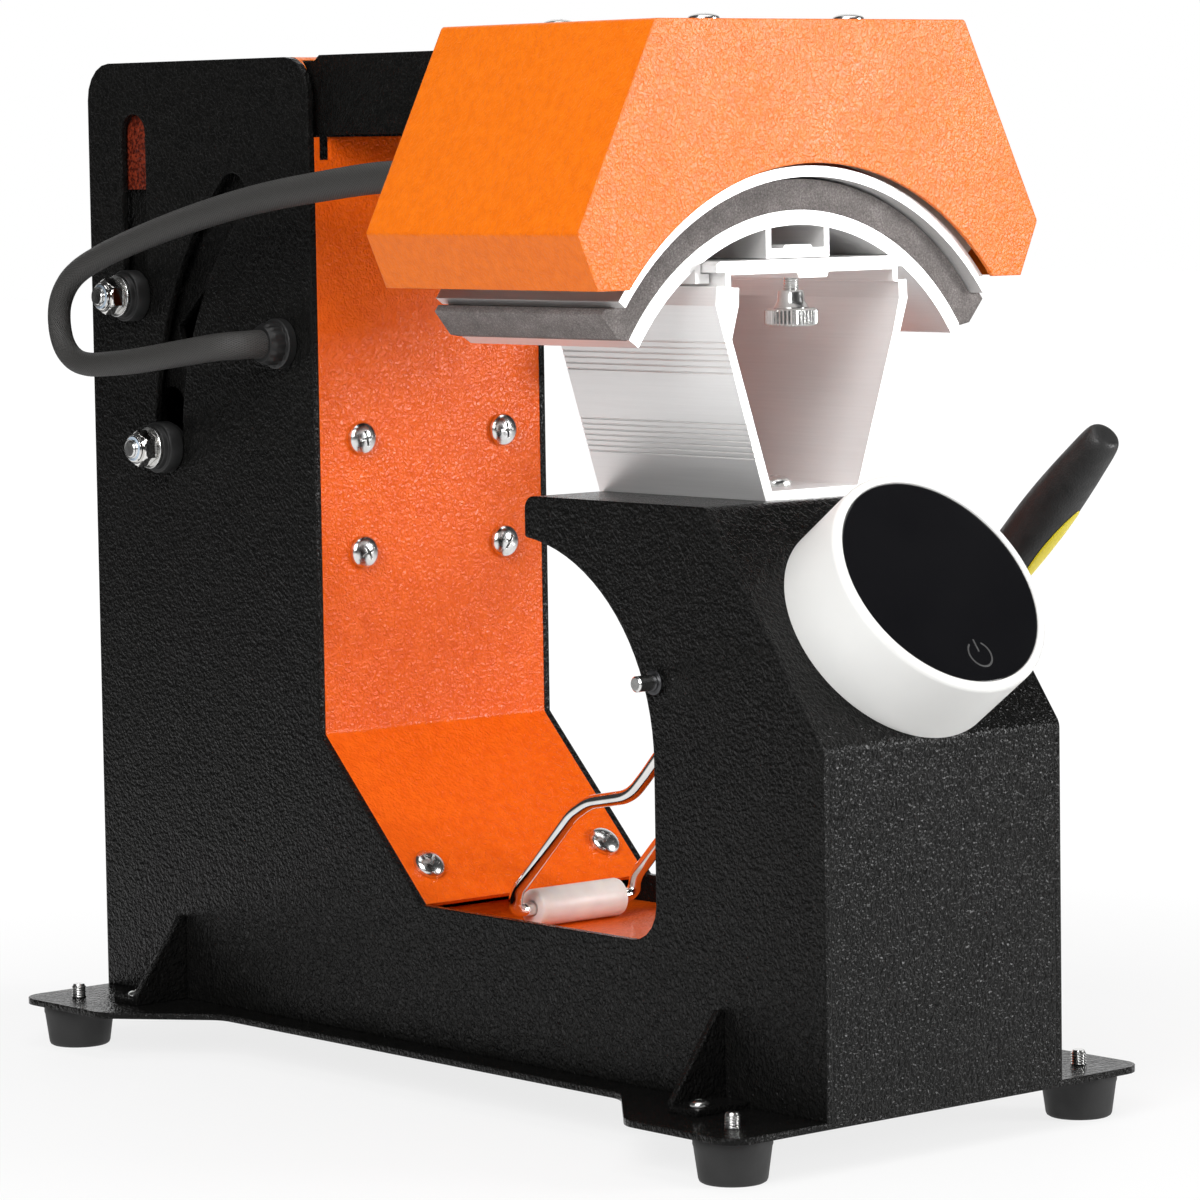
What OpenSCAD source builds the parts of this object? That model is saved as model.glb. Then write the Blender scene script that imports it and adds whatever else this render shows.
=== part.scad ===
// Cap heat press: a C frame, a lifting and tilting head, and a curved cap platen.
// Millimetres, +Z up. X = 0 is the middle of the width, Y = 0 the middle of the frame's
// depth with the user's side at -Y, and Z = 0 the underside of the base plate.

/* [Frame] */
// Width over the two side plates
body_w = 120; // [110:1:135]
// Depth of the side plates, front to back
body_d = 442; // [430:1:460]
// Depth of the column
column_d = 149.5; // [145:0.5:156]
// Thickness of the side plates
plate_t = 3; // [2.5:0.5:3]
// Thickness of the base plate
base_t = 2.5; // [2:0.5:3]
// Thickness of the bent covers
sheet_t = 2; // [1.5:0.5:2]
// Height of the side plates' low run between column and pedestal
sill_h = 55; // [50:1:60]
// Depth of the slanted stretch at the foot of the column
slant_d = 62; // [56:1:66]
// Radius at the column's top corners
column_r = 15; // [8:1:20]
// How far the base plate's skirt stands out of each side plate
skirt_w = 13; // [10:1:16]
// How far the base plate's ears stand out of each side plate
ear_w = 46; // [42:1:52]
// Length of each ear along the side
ear_d = 58; // [50:1:64]

/* [Pedestal] */
// Height of the pedestal's vertical front
front_h = 134; // [128:1:138]
// Height of the pedestal's flat top
pedestal_h = 218; // [215:1:222]
// Depth of the sloped face that carries the display
slope_d = 61; // [58:1:64]
// Depth from the front to the pedestal's straight back
neck_d = 91; // [88:1:94]
// Radius of the hollow back of the pedestal
neck_r = 81; // [79:1:83]
// Floor of the cap space above the base plate
floor_h = 44; // [38:1:46]

/* [Feet] */
// Height of a rubber foot
foot_h = 17; // [12:1:22]
// Diameter of a foot at its top
foot_d = 29; // [26:1:32]
// Distance from the middle plane to a foot
foot_x = 88.5; // [86:0.5:92]
// Distance from the frame's front or back to a foot
foot_inset = 19; // [17:1:24]

/* [Head travel] */
// How far the head rises
lift_travel = 66; // [60:1:68]
// How far the head tilts back
tilt_angle = 50; // [40:1:52]
// Lift axle, in front of the frame's back
lift_axle_in = 31.4; // [30:0.2:33]
// Lift axle below the top of the side plates
lift_axle_drop = 95.5; // [92:0.5:100]
// Width of the upright slot
lift_slot_w = 17; // [16:0.5:18]
// Guide axle, in front of the frame's back
guide_axle_in = 52; // [50:0.5:54]
// Guide axle below the lift axle
guide_axle_drop = 61.8; // [59:0.1:65]
// Forward run of the curved slot
guide_run = 46.5; // [44:0.5:48]
// Rise of the curved slot
guide_rise = 102.3; // [98:0.1:104]
// Width of the curved slot
guide_slot_w = 19; // [18:0.5:20]
// Diameter of both axles
axle_d = 8; // [6:0.5:8]
// Diameter of the nylon bushes outside the plates
bush_d = 21; // [20:0.5:23]
// Length of a bush outside its plate
bush_l = 9; // [7:0.5:11]

/* [Head] */
// Front of the hood behind the frame's front
hood_in = 64.4; // [62:0.2:68]
// Depth of the hood
hood_d = 121; // [116:1:123]
// How far the hood's lower edge stands out of the heated platen
hood_side = 12.4; // [10:0.2:15]
// How far the hood widens above its lower edge
hood_flare = 9.2; // [7:0.2:12]
// Height of that widening stretch
hood_flare_h = 20.6; // [18:0.2:24]
// How far the hood's sides lean in from the lower edge to the top
hood_lean = 29; // [25:0.5:34]
// Room between the heated platen and the hood's top
hood_room = 53.8; // [52:0.1:60]
// Thickness of the hood's sheet
hood_t = 1.5; // [1:0.5:2]
// Thickness of the arm plates
arm_t = 3; // [2:0.5:3]
// Top of the arms above the side plates
arm_over = 0.5; // [0:0.5:3]

/* [Platens] */
// Radius of the lower platen's outer face
platen_r = 100; // [96:1:101]
// Wall of the lower platen
platen_t = 5.5; // [5:0.5:6]
// Half angle that the lower platen covers
platen_a = 56.8; // [54:0.2:58]
// Height of the lower platen's crown above its post
platen_rise = 17.9; // [17:0.1:20]
// Front of the lower platen behind the frame's front
platen_in = 74.5; // [72:0.5:78]
// Length of the lower platen
platen_d = 95.5; // [90:0.5:98]
// Thickness of the pad on the lower platen
pad_t = 11.5; // [10:0.5:12]
// Wall of the heated platen
heat_t = 4; // [3:0.5:5]
// Length of the heated platen
heat_d = 104; // [98:1:106]
// Gap between the closed heated platen and the pad
press_gap = 0.8; // [0.5:0.1:1.2]
// Half width of the post at its top
post_top_x = 48; // [46:0.5:49]
// Half width of the post at its foot
post_low_x = 25; // [23:0.5:27]
// Front of the post behind the frame's front
post_in = 66.5; // [65:0.5:69]
// Length of the post
post_d = 93.5; // [90:0.5:95]
// Height of the post
post_h = 88.5; // [84:0.5:92]

/* [Control drum] */
// Outer radius of the white drum
drum_r = 46.5; // [45:0.5:50]
// Height of the drum above the sloped face
drum_h = 33; // [28:1:38]
// Width of the drum's rim round the black glass
rim_w = 3.8; // [3:0.1:6.5]

/* [Lever] */
// Swing of the lever from closed to open
lever_swing = 66; // [60:1:70]
// Lever shaft, in front of the frame's back
lever_in = 22; // [21:0.5:24]
// Lever shaft below the guide axle
lever_drop = 6.7; // [4:0.1:10]
// Diameter of the lever shaft
shaft_d = 16; // [14:0.5:16]
// Distance from the hood's widest edge to the middle of the lever rod
rod_gap = 10; // [9:0.5:14]
// Diameter of the lever rod
rod_d = 12; // [10:0.5:12]
// Largest diameter of the grip
grip_d = 21; // [18:0.5:24]
// Length of the grip
grip_l = 92; // [80:1:100]

/* [Cap hold-down] */
// Diameter of the hold-down wire
wire_d = 5.5; // [5:0.5:6]
// Distance from the middle plane to each leg of the wire
wire_x = 31; // [28:1:34]
// Diameter of the roller
roller_d = 15; // [13:0.5:15.5]
// Length of the roller
roller_l = 44; // [38:1:46]
// Diameter of the hold-down pivot rod
pivot_d = 6; // [5:0.5:6]
// How far the hold-down lifts
wire_lift = 35; // [25:1:40]

/* [Cable] */
// Diameter of the sleeved cable
cable_d = 12.5; // [11:0.5:13]

/* [Fits] */
// Radial clearance of a running fit
run_c = 0.05; // [0.03:0.01:0.08]
// Gap between parts that slide or pass each other
gap = 1; // [0.6:0.1:1.2]
// Play of a screw in its hole
screw_c = 0.3; // [0.2:0.05:0.4]

/* [Hidden] */

$fn = 48;
eps = 0.01;
front_y = -body_d/2;
back_y = body_d/2;
half_w = body_w/2;
inner_x = half_w - plate_t;

// Y of a point that lies v behind the frame's front, Z of one h above the base plate
function fy(v) = front_y + v;
function bz(h) = base_t + h;

// Heights, from the pedestal up through the post, the platens and the hood to the frame's top
pedestal_z = bz(pedestal_h);
post_top_z = pedestal_z + post_h;
platen_z = post_top_z + platen_rise - platen_r;
pad_r = platen_r + pad_t;
heat_r = pad_r + press_gap;
heat_back = heat_r + heat_t;
heat_a = platen_a - 3.2;
mat_t = 2;
wool_t = 7;
hood_cut_r = heat_back + 1;
hood_low_z = platen_z + hood_cut_r*cos(heat_a) + 3.4;
hood_mid_z = hood_low_z + hood_flare_h;
hood_top_z = platen_z + heat_back + hood_room;
hood_low_x = hood_cut_r*sin(heat_a) + hood_side;
hood_mid_x = hood_low_x + hood_flare;
hood_top_x = hood_low_x - hood_lean;
arm_drop = 6.5;
arm_top = hood_top_z - hood_t - arm_drop;
arm_low = platen_z + heat_back + mat_t + wool_t + 5.5;
arm_h = arm_top - arm_low;
top_z = arm_top - arm_over;

column_y = back_y - column_d;
lift_y = back_y - lift_axle_in;
lift_z = top_z - lift_axle_drop;
guide_y = back_y - guide_axle_in;
guide_z = lift_z - guide_axle_drop;
// The curved slot is an arc that leaves its lower end straight up and bends forward
guide_arc_r = (guide_run*guide_run + guide_rise*guide_rise)/(2*guide_run);
guide_arc_a = asin(guide_rise/guide_arc_r);
guide_arc_y = guide_y - guide_arc_r;

slope_a = atan2(pedestal_h - front_h, slope_d);
drum_u = 0.443*norm([slope_d, pedestal_h - front_h]);
glass_r = drum_r - rim_w;
drum_y = fy(drum_u*cos(slope_a));
drum_z = bz(front_h + drum_u*sin(slope_a));

heat_in = hood_in + 4;
arm_x = inner_x - 7;
pedestal_top_d = neck_d + neck_r - 9;
hood_y0 = fy(hood_in);
hood_y1 = hood_y0 + hood_d;

lever_y = back_y - lever_in;
lever_z = guide_z - lever_drop;
rod_x = hood_mid_x + rod_gap;
crank_r = lift_travel/(2*sin(lever_swing/2));
crank_y = lever_y - crank_r*cos(lever_swing/2);
crank_z = lever_z - lift_travel/2;

axle_r = axle_d/2;
axle_nut_l = 8;
axle_nut_af = 13;
washer_t = 1.6;
washer_r = 8.5;
bush_end = half_w + bush_l;
nut_start = bush_end + washer_t;
nut_end = nut_start + axle_nut_l;
lever_arm_x = nut_end + 3;
lever_arm_t = 6;

floor_z = bz(floor_h);
pivot_y = fy(neck_d - 2.5);
pivot_z = pedestal_z - 65.6;
roller_y = column_y - slant_d - 22.5;
roller_z = floor_z + 0.5 + roller_d/2;

/* ---------- helpers ---------- */
black = [0.07, 0.07, 0.075];
orange = [0.93, 0.37, 0.07];
steel = [0.75, 0.75, 0.77];
alu = [0.85, 0.85, 0.86];
dark = [0.14, 0.14, 0.15];

function unit(v) = v/norm(v);
function arc_points(c, r, a0, a1, n) =
    [for (i = [0:n]) c + r*[cos(a0 + (a1 - a0)*i/n), sin(a0 + (a1 - a0)*i/n)]];

// One corner of an outline, rounded with radius r
function corner(p0, p1, p2, r, n) =
    r <= 0 ? [p1] :
    let (u = unit(p0 - p1), v = unit(p2 - p1), half = acos(u*v)/2,
         c = p1 + unit(u + v)*(r/sin(half)),
         s = p1 + u*(r/tan(half)) - c, e = p1 + v*(r/tan(half)) - c,
         a0 = atan2(s.y, s.x), turn = atan2(e.y, e.x) - a0,
         sweep = turn > 180 ? turn - 360 : turn < -180 ? turn + 360 : turn)
    [for (i = [0:n]) c + r*[cos(a0 + sweep*i/n), sin(a0 + sweep*i/n)]];

// A closed outline from [x, y, corner radius] rows
function rounded(rows, n = 6) =
    [for (i = [0:len(rows) - 1])
        let (a = rows[(i + len(rows) - 1) % len(rows)], b = rows[i],
             c = rows[(i + 1) % len(rows)])
        each corner([a.x, a.y], [b.x, b.y], [c.x, c.y], b[2], n)];

// An open path from [x, y, corner radius] rows
function rounded_path(rows, n = 5) =
    [for (i = [0:len(rows) - 1])
        let (b = rows[i])
        each (i == 0 || i == len(rows) - 1) ? [[b.x, b.y]] :
            corner([rows[i - 1].x, rows[i - 1].y], [b.x, b.y],
                   [rows[i + 1].x, rows[i + 1].y], b[2], n)];

function left_of(a, b) = let (d = unit(b - a)) [-d.y, d.x];
// A point of a path moved t to its left, mitred at the bends
function shifted(p, i, t) =
    let (n = len(p),
         n0 = i == 0 ? left_of(p[0], p[1]) : left_of(p[i - 1], p[i]),
         n1 = i == n - 1 ? n0 : left_of(p[i], p[i + 1]),
         m = unit(n0 + n1))
    p[i] + m*(t/(m*n1));

// The outline of a sheet of thickness t that follows a path, on the path's left
function sheet_outline(p, t) =
    concat(p, [for (i = [len(p) - 1:-1:0]) shifted(p, i, t)]);

// Drawing planes: a Y-Z drawing pulled along X, and an X-Z drawing pulled along Y
module pull_x(x0, x1) {
    translate([x0, 0, 0])
        rotate([90, 0, 90])
            linear_extrude(x1 - x0)
                children();
}
module pull_y(y0, y1) {
    translate([0, y1, 0])
        rotate([90, 0, 0])
            linear_extrude(y1 - y0)
                children();
}
module x_rod(x0, x1, r, y, z) {
    translate([x0, y, z])
        rotate([0, 90, 0])
            cylinder(h = x1 - x0, r = r);
}
module y_rod(y0, y1, r, x, z) {
    translate([x, y1, z])
        rotate([90, 0, 0])
            cylinder(h = y1 - y0, r = r);
}
module both_sides() {
    children();
    mirror([1, 0, 0])
        children();
}
module slot_2d(y, z0, z1, w) {
    translate([y - w/2, z0])
        square([w, z1 - z0]);
    translate([y, z0])
        circle(r = w/2);
    translate([y, z1])
        circle(r = w/2);
}
// A sector of a ring between two radii, open by a half angle about straight up
module ring_sector_2d(r0, r1, half_a) {
    reach = 2*r1;
    intersection() {
        difference() {
            circle(r = r1, $fn = 128);
            circle(r = r0, $fn = 128);
        }
        polygon([[0, 0], reach*[-sin(half_a), cos(half_a)], [-reach, 2*reach],
                 [reach, 2*reach], reach*[sin(half_a), cos(half_a)]]);
    }
}
// A pan head screw along +Z with its seat at Z = 0
module pan_screw(head_d, head_h, shank_d, shank_l) {
    rotate_extrude()
        polygon(concat([[0, -shank_l], [shank_d/2, -shank_l], [shank_d/2, 0], [head_d/2, 0]],
                       [for (i = [0:5]) [head_d/2*cos(i*16), head_h*(0.25 + 0.75*sin(i*16)/sin(80))]],
                       [[0, head_h]]));
}
module hex_nut(af, h, bore_d) {
    difference() {
        cylinder(h = h, d = af/cos(30), $fn = 6);
        translate([0, 0, -1])
            cylinder(h = h + 2, d = bore_d);
    }
}

/* ---------- frame ---------- */
function base_half() = [
    [half_w + ear_w, -body_d/2, 11], [half_w + ear_w, -body_d/2 + ear_d, 14],
    [half_w + skirt_w, -body_d/2 + ear_d + 1.2*(ear_w - skirt_w), 14],
    [half_w + skirt_w, body_d/2 - ear_d - 1.2*(ear_w - skirt_w), 14],
    [half_w + ear_w, body_d/2 - ear_d, 14], [half_w + ear_w, body_d/2, 11]];
foot_y = body_d/2 - foot_inset;
gusset_v = 54;
gusset_y = body_d/2 - gusset_v;
gusset_w = 26;
gusset_h = 34.6;
gusset_t = 2.5;
gusset_tab = 13;
gusset_screw_x = half_w + gusset_w - 7;
module at_corners(x, y) {
    for (sx = [-1, 1])
        for (sy = [-1, 1])
            translate([sx*x, sy*y, 0])
                children();
}

module base_plate() {
    half = base_half();
    other = [for (i = [len(half) - 1:-1:0]) [-half[i].x, half[i].y, half[i][2]]];
    color(black)
        difference() {
            linear_extrude(base_t)
                polygon(rounded(concat(half, other)));
            at_corners(foot_x, foot_y)
                translate([0, 0, -1])
                    cylinder(h = base_t + 2, d = 6 + 2*run_c);
        }
}

module side_outline() {
    tip = [fy(pedestal_top_d), bz(pedestal_h)];
    tip_drop = 15;
    arc_c = [fy(neck_d + neck_r), bz(pedestal_h - tip_drop - neck_r)];
    polygon(concat(
        rounded_path([[back_y, base_t, 0], [back_y, base_t, 0]]),
        rounded_path([[front_y, base_t, 0], [front_y, bz(front_h), 6],
                      [fy(slope_d), bz(pedestal_h), 4], [tip.x, tip.y, 5],
                      [tip.x, tip.y - tip_drop, 0]]),
        arc_points(arc_c, neck_r, 97, 180, 20),
        rounded_path([[fy(neck_d), arc_c.y, 0], [fy(neck_d), bz(sill_h), 14],
                      [column_y - slant_d, bz(sill_h), 0], [column_y, bz(sill_h + slant_d), 0],
                      [column_y, top_z, column_r], [back_y, top_z, column_r],
                      [back_y, base_t, 0]])));
}
module guide_slot_2d(w) {
    translate([guide_arc_y, guide_z]) {
        intersection() {
            difference() {
                circle(r = guide_arc_r + w/2, $fn = 160);
                circle(r = guide_arc_r - w/2, $fn = 160);
            }
            polygon([[0, 0], [2*guide_arc_r, 0],
                     2*guide_arc_r*[cos(guide_arc_a/2), sin(guide_arc_a/2)],
                     2*guide_arc_r*[cos(guide_arc_a), sin(guide_arc_a)]]);
        }
        for (a = [0, guide_arc_a])
            translate(guide_arc_r*[cos(a), sin(a)])
                circle(r = w/2);
    }
}
gland_y = column_y + 19.5;
gland_z = lift_z - 17.9;
gland_hole_r = cable_d/2 + 1.75;
module side_plate(x0) {
    color(black)
        difference() {
            pull_x(x0, x0 + plate_t)
                difference() {
                    side_outline();
                    slot_2d(lift_y, lift_z, lift_z + lift_travel, lift_slot_w);
                    guide_slot_2d(guide_slot_w);
                }
            x_rod(x0 - 1, x0 + plate_t + 1, pivot_d/2 + run_c, pivot_y, pivot_z);
            children();
        }
}
module side_plate_left() {
    side_plate(-half_w)
        x_rod(-half_w - 1, -inner_x + 1, gland_hole_r + screw_c, gland_y, gland_z);
}
// The right plate is of four lengths, welded edge to edge: the pedestal below the cap space,
// the column with the lower part of the curved slot, the column's top with the rest of that slot,
// and the rear strip with the upright slot and the bearing
plate_seam = fy(neck_d + 30);
rear_seam = (lift_y - lift_slot_w/2 + guide_y + guide_slot_w/2)/2;
upper_seam = guide_z + guide_arc_r*sin(guide_arc_a*0.685);
module plate_length(y0, y1, z0 = 0) {
    translate([inner_x - 1, y0, z0])
        cube([plate_t + 2, y1 - y0, 2*top_z]);
}
// The pedestal's length, with the nose above the neck
module pedestal_length() {
    plate_length(front_y - 1, plate_seam);
    plate_length(front_y - 1, column_y - 20, bz(pedestal_h) - 45);
}
module upper_length() {
    plate_length(column_y - 20, rear_seam, upper_seam);
}
module side_plate_right() {
    color(black)
        difference() {
            intersection() {
                side_plate(inner_x);
                plate_length(plate_seam, rear_seam);
            }
            pedestal_length();
            upper_length();
        }
}
module upper_side_right() {
    color(black)
        intersection() {
            side_plate(inner_x);
            upper_length();
        }
}
module rear_side_right() {
    color(black)
        intersection() {
            side_plate(inner_x)
                x_rod(inner_x - 1, half_w + 1, shaft_d/2 + 3 + screw_c, lever_y, lever_z);
            plate_length(rear_seam, back_y + 1);
        }
}
module pedestal_side_right() {
    color(black)
        intersection() {
            side_plate(inner_x);
            pedestal_length();
        }
}

// Bent sheets that close the frame between the side plates
module bent_sheet(rows, t, x = inner_x) {
    pull_x(-x, x)
        polygon(sheet_outline(rounded_path(rows), t));
}
module pedestal_cover() {
    color(black)
        difference() {
            bent_sheet([[fy(pedestal_top_d - 5), bz(pedestal_h), 0], [fy(slope_d), bz(pedestal_h), 4],
                        [front_y, bz(front_h), 6], [front_y, base_t, 0]], sheet_t);
            translate([0, drum_y, drum_z])
                rotate([slope_a, 0, 0])
                    translate([0, 0, -10])
                        cylinder(h = 20, r = 8);
            for (v = post_screw_v)
                translate([0, fy(v), bz(pedestal_h) - 10])
                    cylinder(h = 20, d = 6 + 2*screw_c);
        }
}
neck_arc_z = bz(pedestal_h - 15 - neck_r);
module pedestal_back() {
    low = floor_z + 40;
    path = concat([[fy(neck_d), low]],
                  arc_points([fy(neck_d + neck_r), neck_arc_z], neck_r, 180, 99, 20));
    color(black)
        difference() {
            pull_x(-inner_x, inner_x)
                polygon(sheet_outline(path, sheet_t));
            for (s = [-1, 1])
                translate([s*wire_x - wire_d/2 - gap, fy(neck_d) - 5, pivot_z - 26])
                    cube([wire_d + 2*gap, 30, 42]);
        }
}
notch_play = 1.2;
notch_h = 9;
panel_top = arm_low - 1;
panel_screw_x = 36.5;
panel_screw_z = [bz(sill_h + slant_d + 71.7), bz(sill_h + slant_d + 117.3)];
slant_screw_x = 45.5;
slant_screw_s = 12.7;
module column_panel() {
    color(orange)
        difference() {
            bent_sheet([[column_y - slant_d, bz(sill_h), 0], [column_y, bz(sill_h + slant_d), 3],
                        [column_y, panel_top, 0]], -sheet_t);
            both_sides()
                translate([arm_x - notch_play, column_y - 5, panel_top - notch_h])
                    cube([arm_t + 2*notch_play, 10, notch_h + 5]);
            for (x = [-panel_screw_x, panel_screw_x])
                for (z = panel_screw_z)
                    y_rod(column_y - 5, column_y + 10, 3 + screw_c, x, z);
            slant_screw_places()
                translate([0, 0, -8])
                    cylinder(h = 16, r = 3 + screw_c);
        }
}
module slant_screw_places() {
    for (x = [-slant_screw_x, slant_screw_x])
        translate([x, column_y - slant_d + slant_screw_s, bz(sill_h) + slant_screw_s])
            rotate([45, 0, 0])
                children();
}
module floor_sheet() {
    rear = column_y - slant_d + 8;
    color(orange)
        bent_sheet([[fy(neck_d), floor_z + 39, 0], [fy(neck_d), floor_z, 14], [rear, floor_z, 0],
                    [rear + 6, floor_z + 6, 0]], -sheet_t);
}
rear_top = lift_z + 28;
inlet_x = -24;
inlet_z = bz(48);
switch_x = 24;
module rear_cover() {
    color(black)
        difference() {
            translate([-inner_x, back_y - sheet_t, base_t])
                cube([2*inner_x, sheet_t, rear_top - base_t]);
            for (i = [0:6])
                translate([-24, back_y - 5, bz(110) + 9*i])
                    cube([48, 10, 4]);
            translate([inlet_x - 14, back_y - 5, inlet_z - 10])
                cube([28, 10, 20]);
            translate([switch_x - 10, back_y - 5, inlet_z - 7])
                cube([20, 10, 14]);
        }
}
brace_d = 18;
module column_brace() {
    y0 = column_y + sheet_t;
    z0 = panel_screw_z[0] - 16;
    z1 = panel_screw_z[1] + 16;
    color(dark)
        difference() {
            translate([-inner_x, y0, z0])
                cube([2*inner_x, brace_d, z1 - z0]);
            translate([-inner_x - 1, y0 + 3, z0 + 3])
                cube([2*inner_x + 2, brace_d, z1 - z0 - 6]);
            for (x = [-panel_screw_x, panel_screw_x])
                for (z = panel_screw_z)
                    y_rod(y0 - 5, y0 + 10, 3 + screw_c, x, z);
        }
}
module panel_brackets() {
    n = [cos(45), -sin(45)];
    a = [column_y - slant_d + 2, bz(sill_h) + 2] + n*sheet_t;
    b = [a.x + 24, a.y + 24];
    color(dark)
        difference() {
            both_sides()
                pull_x(inner_x - 22, inner_x)
                    polygon([a, b, [b.x, a.y]]);
            slant_screw_places()
                translate([0, 0, -15])
                    cylinder(h = 16, r = 3 + screw_c);
        }
}
module gussets() {
    color(black)
        difference() {
            at_gussets() {
                pull_y(0, gusset_t)
                    polygon([[half_w, base_t], [half_w + gusset_w, base_t],
                             [half_w + gusset_w, base_t + 4], [half_w + 3, bz(gusset_h)],
                             [half_w, bz(gusset_h)]]);
                translate([half_w, gusset_t - eps, base_t])
                    cube([gusset_w, gusset_tab, gusset_t]);
            }
            at_gussets()
                translate([gusset_screw_x, gusset_t + gusset_tab/2, 0])
                    cylinder(h = 20, r = 2 + screw_c);
        }
}
module at_gussets() {
    for (sx = [0, 1])
        for (sy = [0, 1])
            mirror([sx, 0, 0])
                mirror([0, sy, 0])
                    translate([0, gusset_y - gusset_t, 0])
                        children();
}
module gusset_screws() {
    color(steel)
        at_gussets()
            translate([gusset_screw_x, gusset_t + gusset_tab/2, base_t + gusset_t])
                pan_screw(7.6, 2.6, 4, gusset_t);
}
foot_recess = 6;
module rubber_feet() {
    color([0.05, 0.05, 0.05])
        at_corners(foot_x, foot_y)
            rotate_extrude()
                polygon([[3 + screw_c, 0], [foot_d/2, 0], [foot_d/2, -3], [foot_d/2 - 2.2, -foot_h + 1],
                         [foot_d/2 - 3.2, -foot_h], [6.5, -foot_h], [6.5, -foot_h + foot_recess],
                         [3 + screw_c, -foot_h + foot_recess]]);
}
module foot_screws() {
    color(steel)
        at_corners(foot_x, foot_y)
            translate([0, 0, -foot_h + foot_recess])
                rotate([180, 0, 0])
                    pan_screw(11, 4, 6, foot_h - foot_recess + base_t + 5.5);
}
module panel_screws() {
    color(steel) {
        for (x = [-panel_screw_x, panel_screw_x])
            for (z = panel_screw_z)
                translate([x, column_y, z])
                    rotate([90, 0, 0])
                        pan_screw(12, 4, 6, 12);
        slant_screw_places()
            pan_screw(12, 4, 6, 10);
    }
}

/* ---------- lever bearing, hanger guide, electrics ---------- */
module lever_bearing() {
    tube_r = shaft_d/2 + 3;
    color(dark)
        difference() {
            union() {
                x_rod(inner_x - 3, lever_arm_x - 1, tube_r, lever_y, lever_z);
                x_rod(half_w, half_w + 3, tube_r + 4, lever_y, lever_z);
            }
            x_rod(inner_x - 10, lever_arm_x + 5, shaft_d/2 + run_c, lever_y, lever_z);
        }
}
hanger_x0 = 14;
hanger_t = 8;
hanger_low = crank_z - 16;
module hanger_guide() {
    y1 = back_y - sheet_t;
    color(dark)
        difference() {
            translate([hanger_x0 - 6, y1 - 12, hanger_low])
                cube([hanger_t + 12, 12, rear_top - hanger_low - 20]);
            translate([hanger_x0 - gap/2, y1 - 20, hanger_low - 1])
                cube([hanger_t + gap, 18, rear_top]);
        }
}
gland_l = 11;
module cable_gland() {
    color(dark)
        difference() {
            union() {
                x_rod(-half_w - 4, -half_w, 10, gland_y, gland_z);
                x_rod(-half_w - gland_l, -half_w, 8.6, gland_y, gland_z);
                x_rod(-half_w, -inner_x + 6, gland_hole_r, gland_y, gland_z);
            }
            x_rod(-half_w - gland_l - 1, -inner_x + 8, cable_d/2 - 0.5, gland_y, gland_z);
            x_rod(-half_w - gland_l - 1, -half_w - gland_l + 3, cable_d/2 + 0.05, gland_y, gland_z);
        }
}
module power_inlet() {
    color(dark)
        difference() {
            union() {
                translate([inlet_x - 13.7, back_y - 22, inlet_z - 9.7])
                    cube([27.4, 22, 19.4]);
                translate([inlet_x - 20, back_y, inlet_z - 12])
                    cube([40, 3, 24]);
            }
            translate([inlet_x - 11.5, back_y - 15, inlet_z - 7.5])
                cube([23, 30, 15]);
        }
    color(steel)
        for (p = [[-6, -1.5], [0, 2.5], [6, -1.5]])
            translate([inlet_x + p.x - 1, back_y - 16, inlet_z + p.y - 2])
                cube([2, 8, 4]);
}
rocker_tilt = 8;
module switch_housing() {
    color(dark)
        difference() {
            union() {
                translate([switch_x - 9.7, back_y - 20, inlet_z - 6.7])
                    cube([19.4, 20, 13.4]);
                translate([switch_x - 12, back_y, inlet_z - 9])
                    cube([24, 2, 18]);
            }
            translate([switch_x - 8.4, back_y - 12, inlet_z - 5.4])
                cube([16.8, 30, 10.8]);
        }
    color(steel)
        translate([switch_x, rocker_y, inlet_z - 6])
            cylinder(h = 12, r = rocker_pin_r);
}
rocker_y = back_y - 5;
rocker_pin_r = 1.5;
module switch_rocker() {
    half_l = 7.4;
    color([0.75, 0.08, 0.05])
        difference() {
            translate([switch_x, rocker_y, inlet_z])
                rotate([0, 0, rocker_tilt])
                    translate([0, 0, -5])
                        linear_extrude(10)
                            polygon([[-half_l, 0], [-4, -4], [4, -4], [half_l, 0], [half_l, 5.5],
                                     [0, 7], [-half_l, 8.5 - 3]]);
            translate([switch_x, rocker_y, inlet_z - 10])
                cylinder(h = 20, r = rocker_pin_r + run_c);
        }
}
module power_board() {
    color([0.1, 0.35, 0.2])
        translate([-45, fy(20), base_t + 8])
            cube([90, 60, 1.6]);
    color(dark) {
        translate([-35, fy(30), base_t + 9.6])
            cube([30, 28, 22]);
        translate([10, fy(32), base_t + 9.6])
            cube([22, 16, 15]);
        for (x = [-40, 40])
            for (v = [25, 75])
                translate([x, fy(v), base_t])
                    cylinder(h = 8, r = 3);
    }
}

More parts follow.
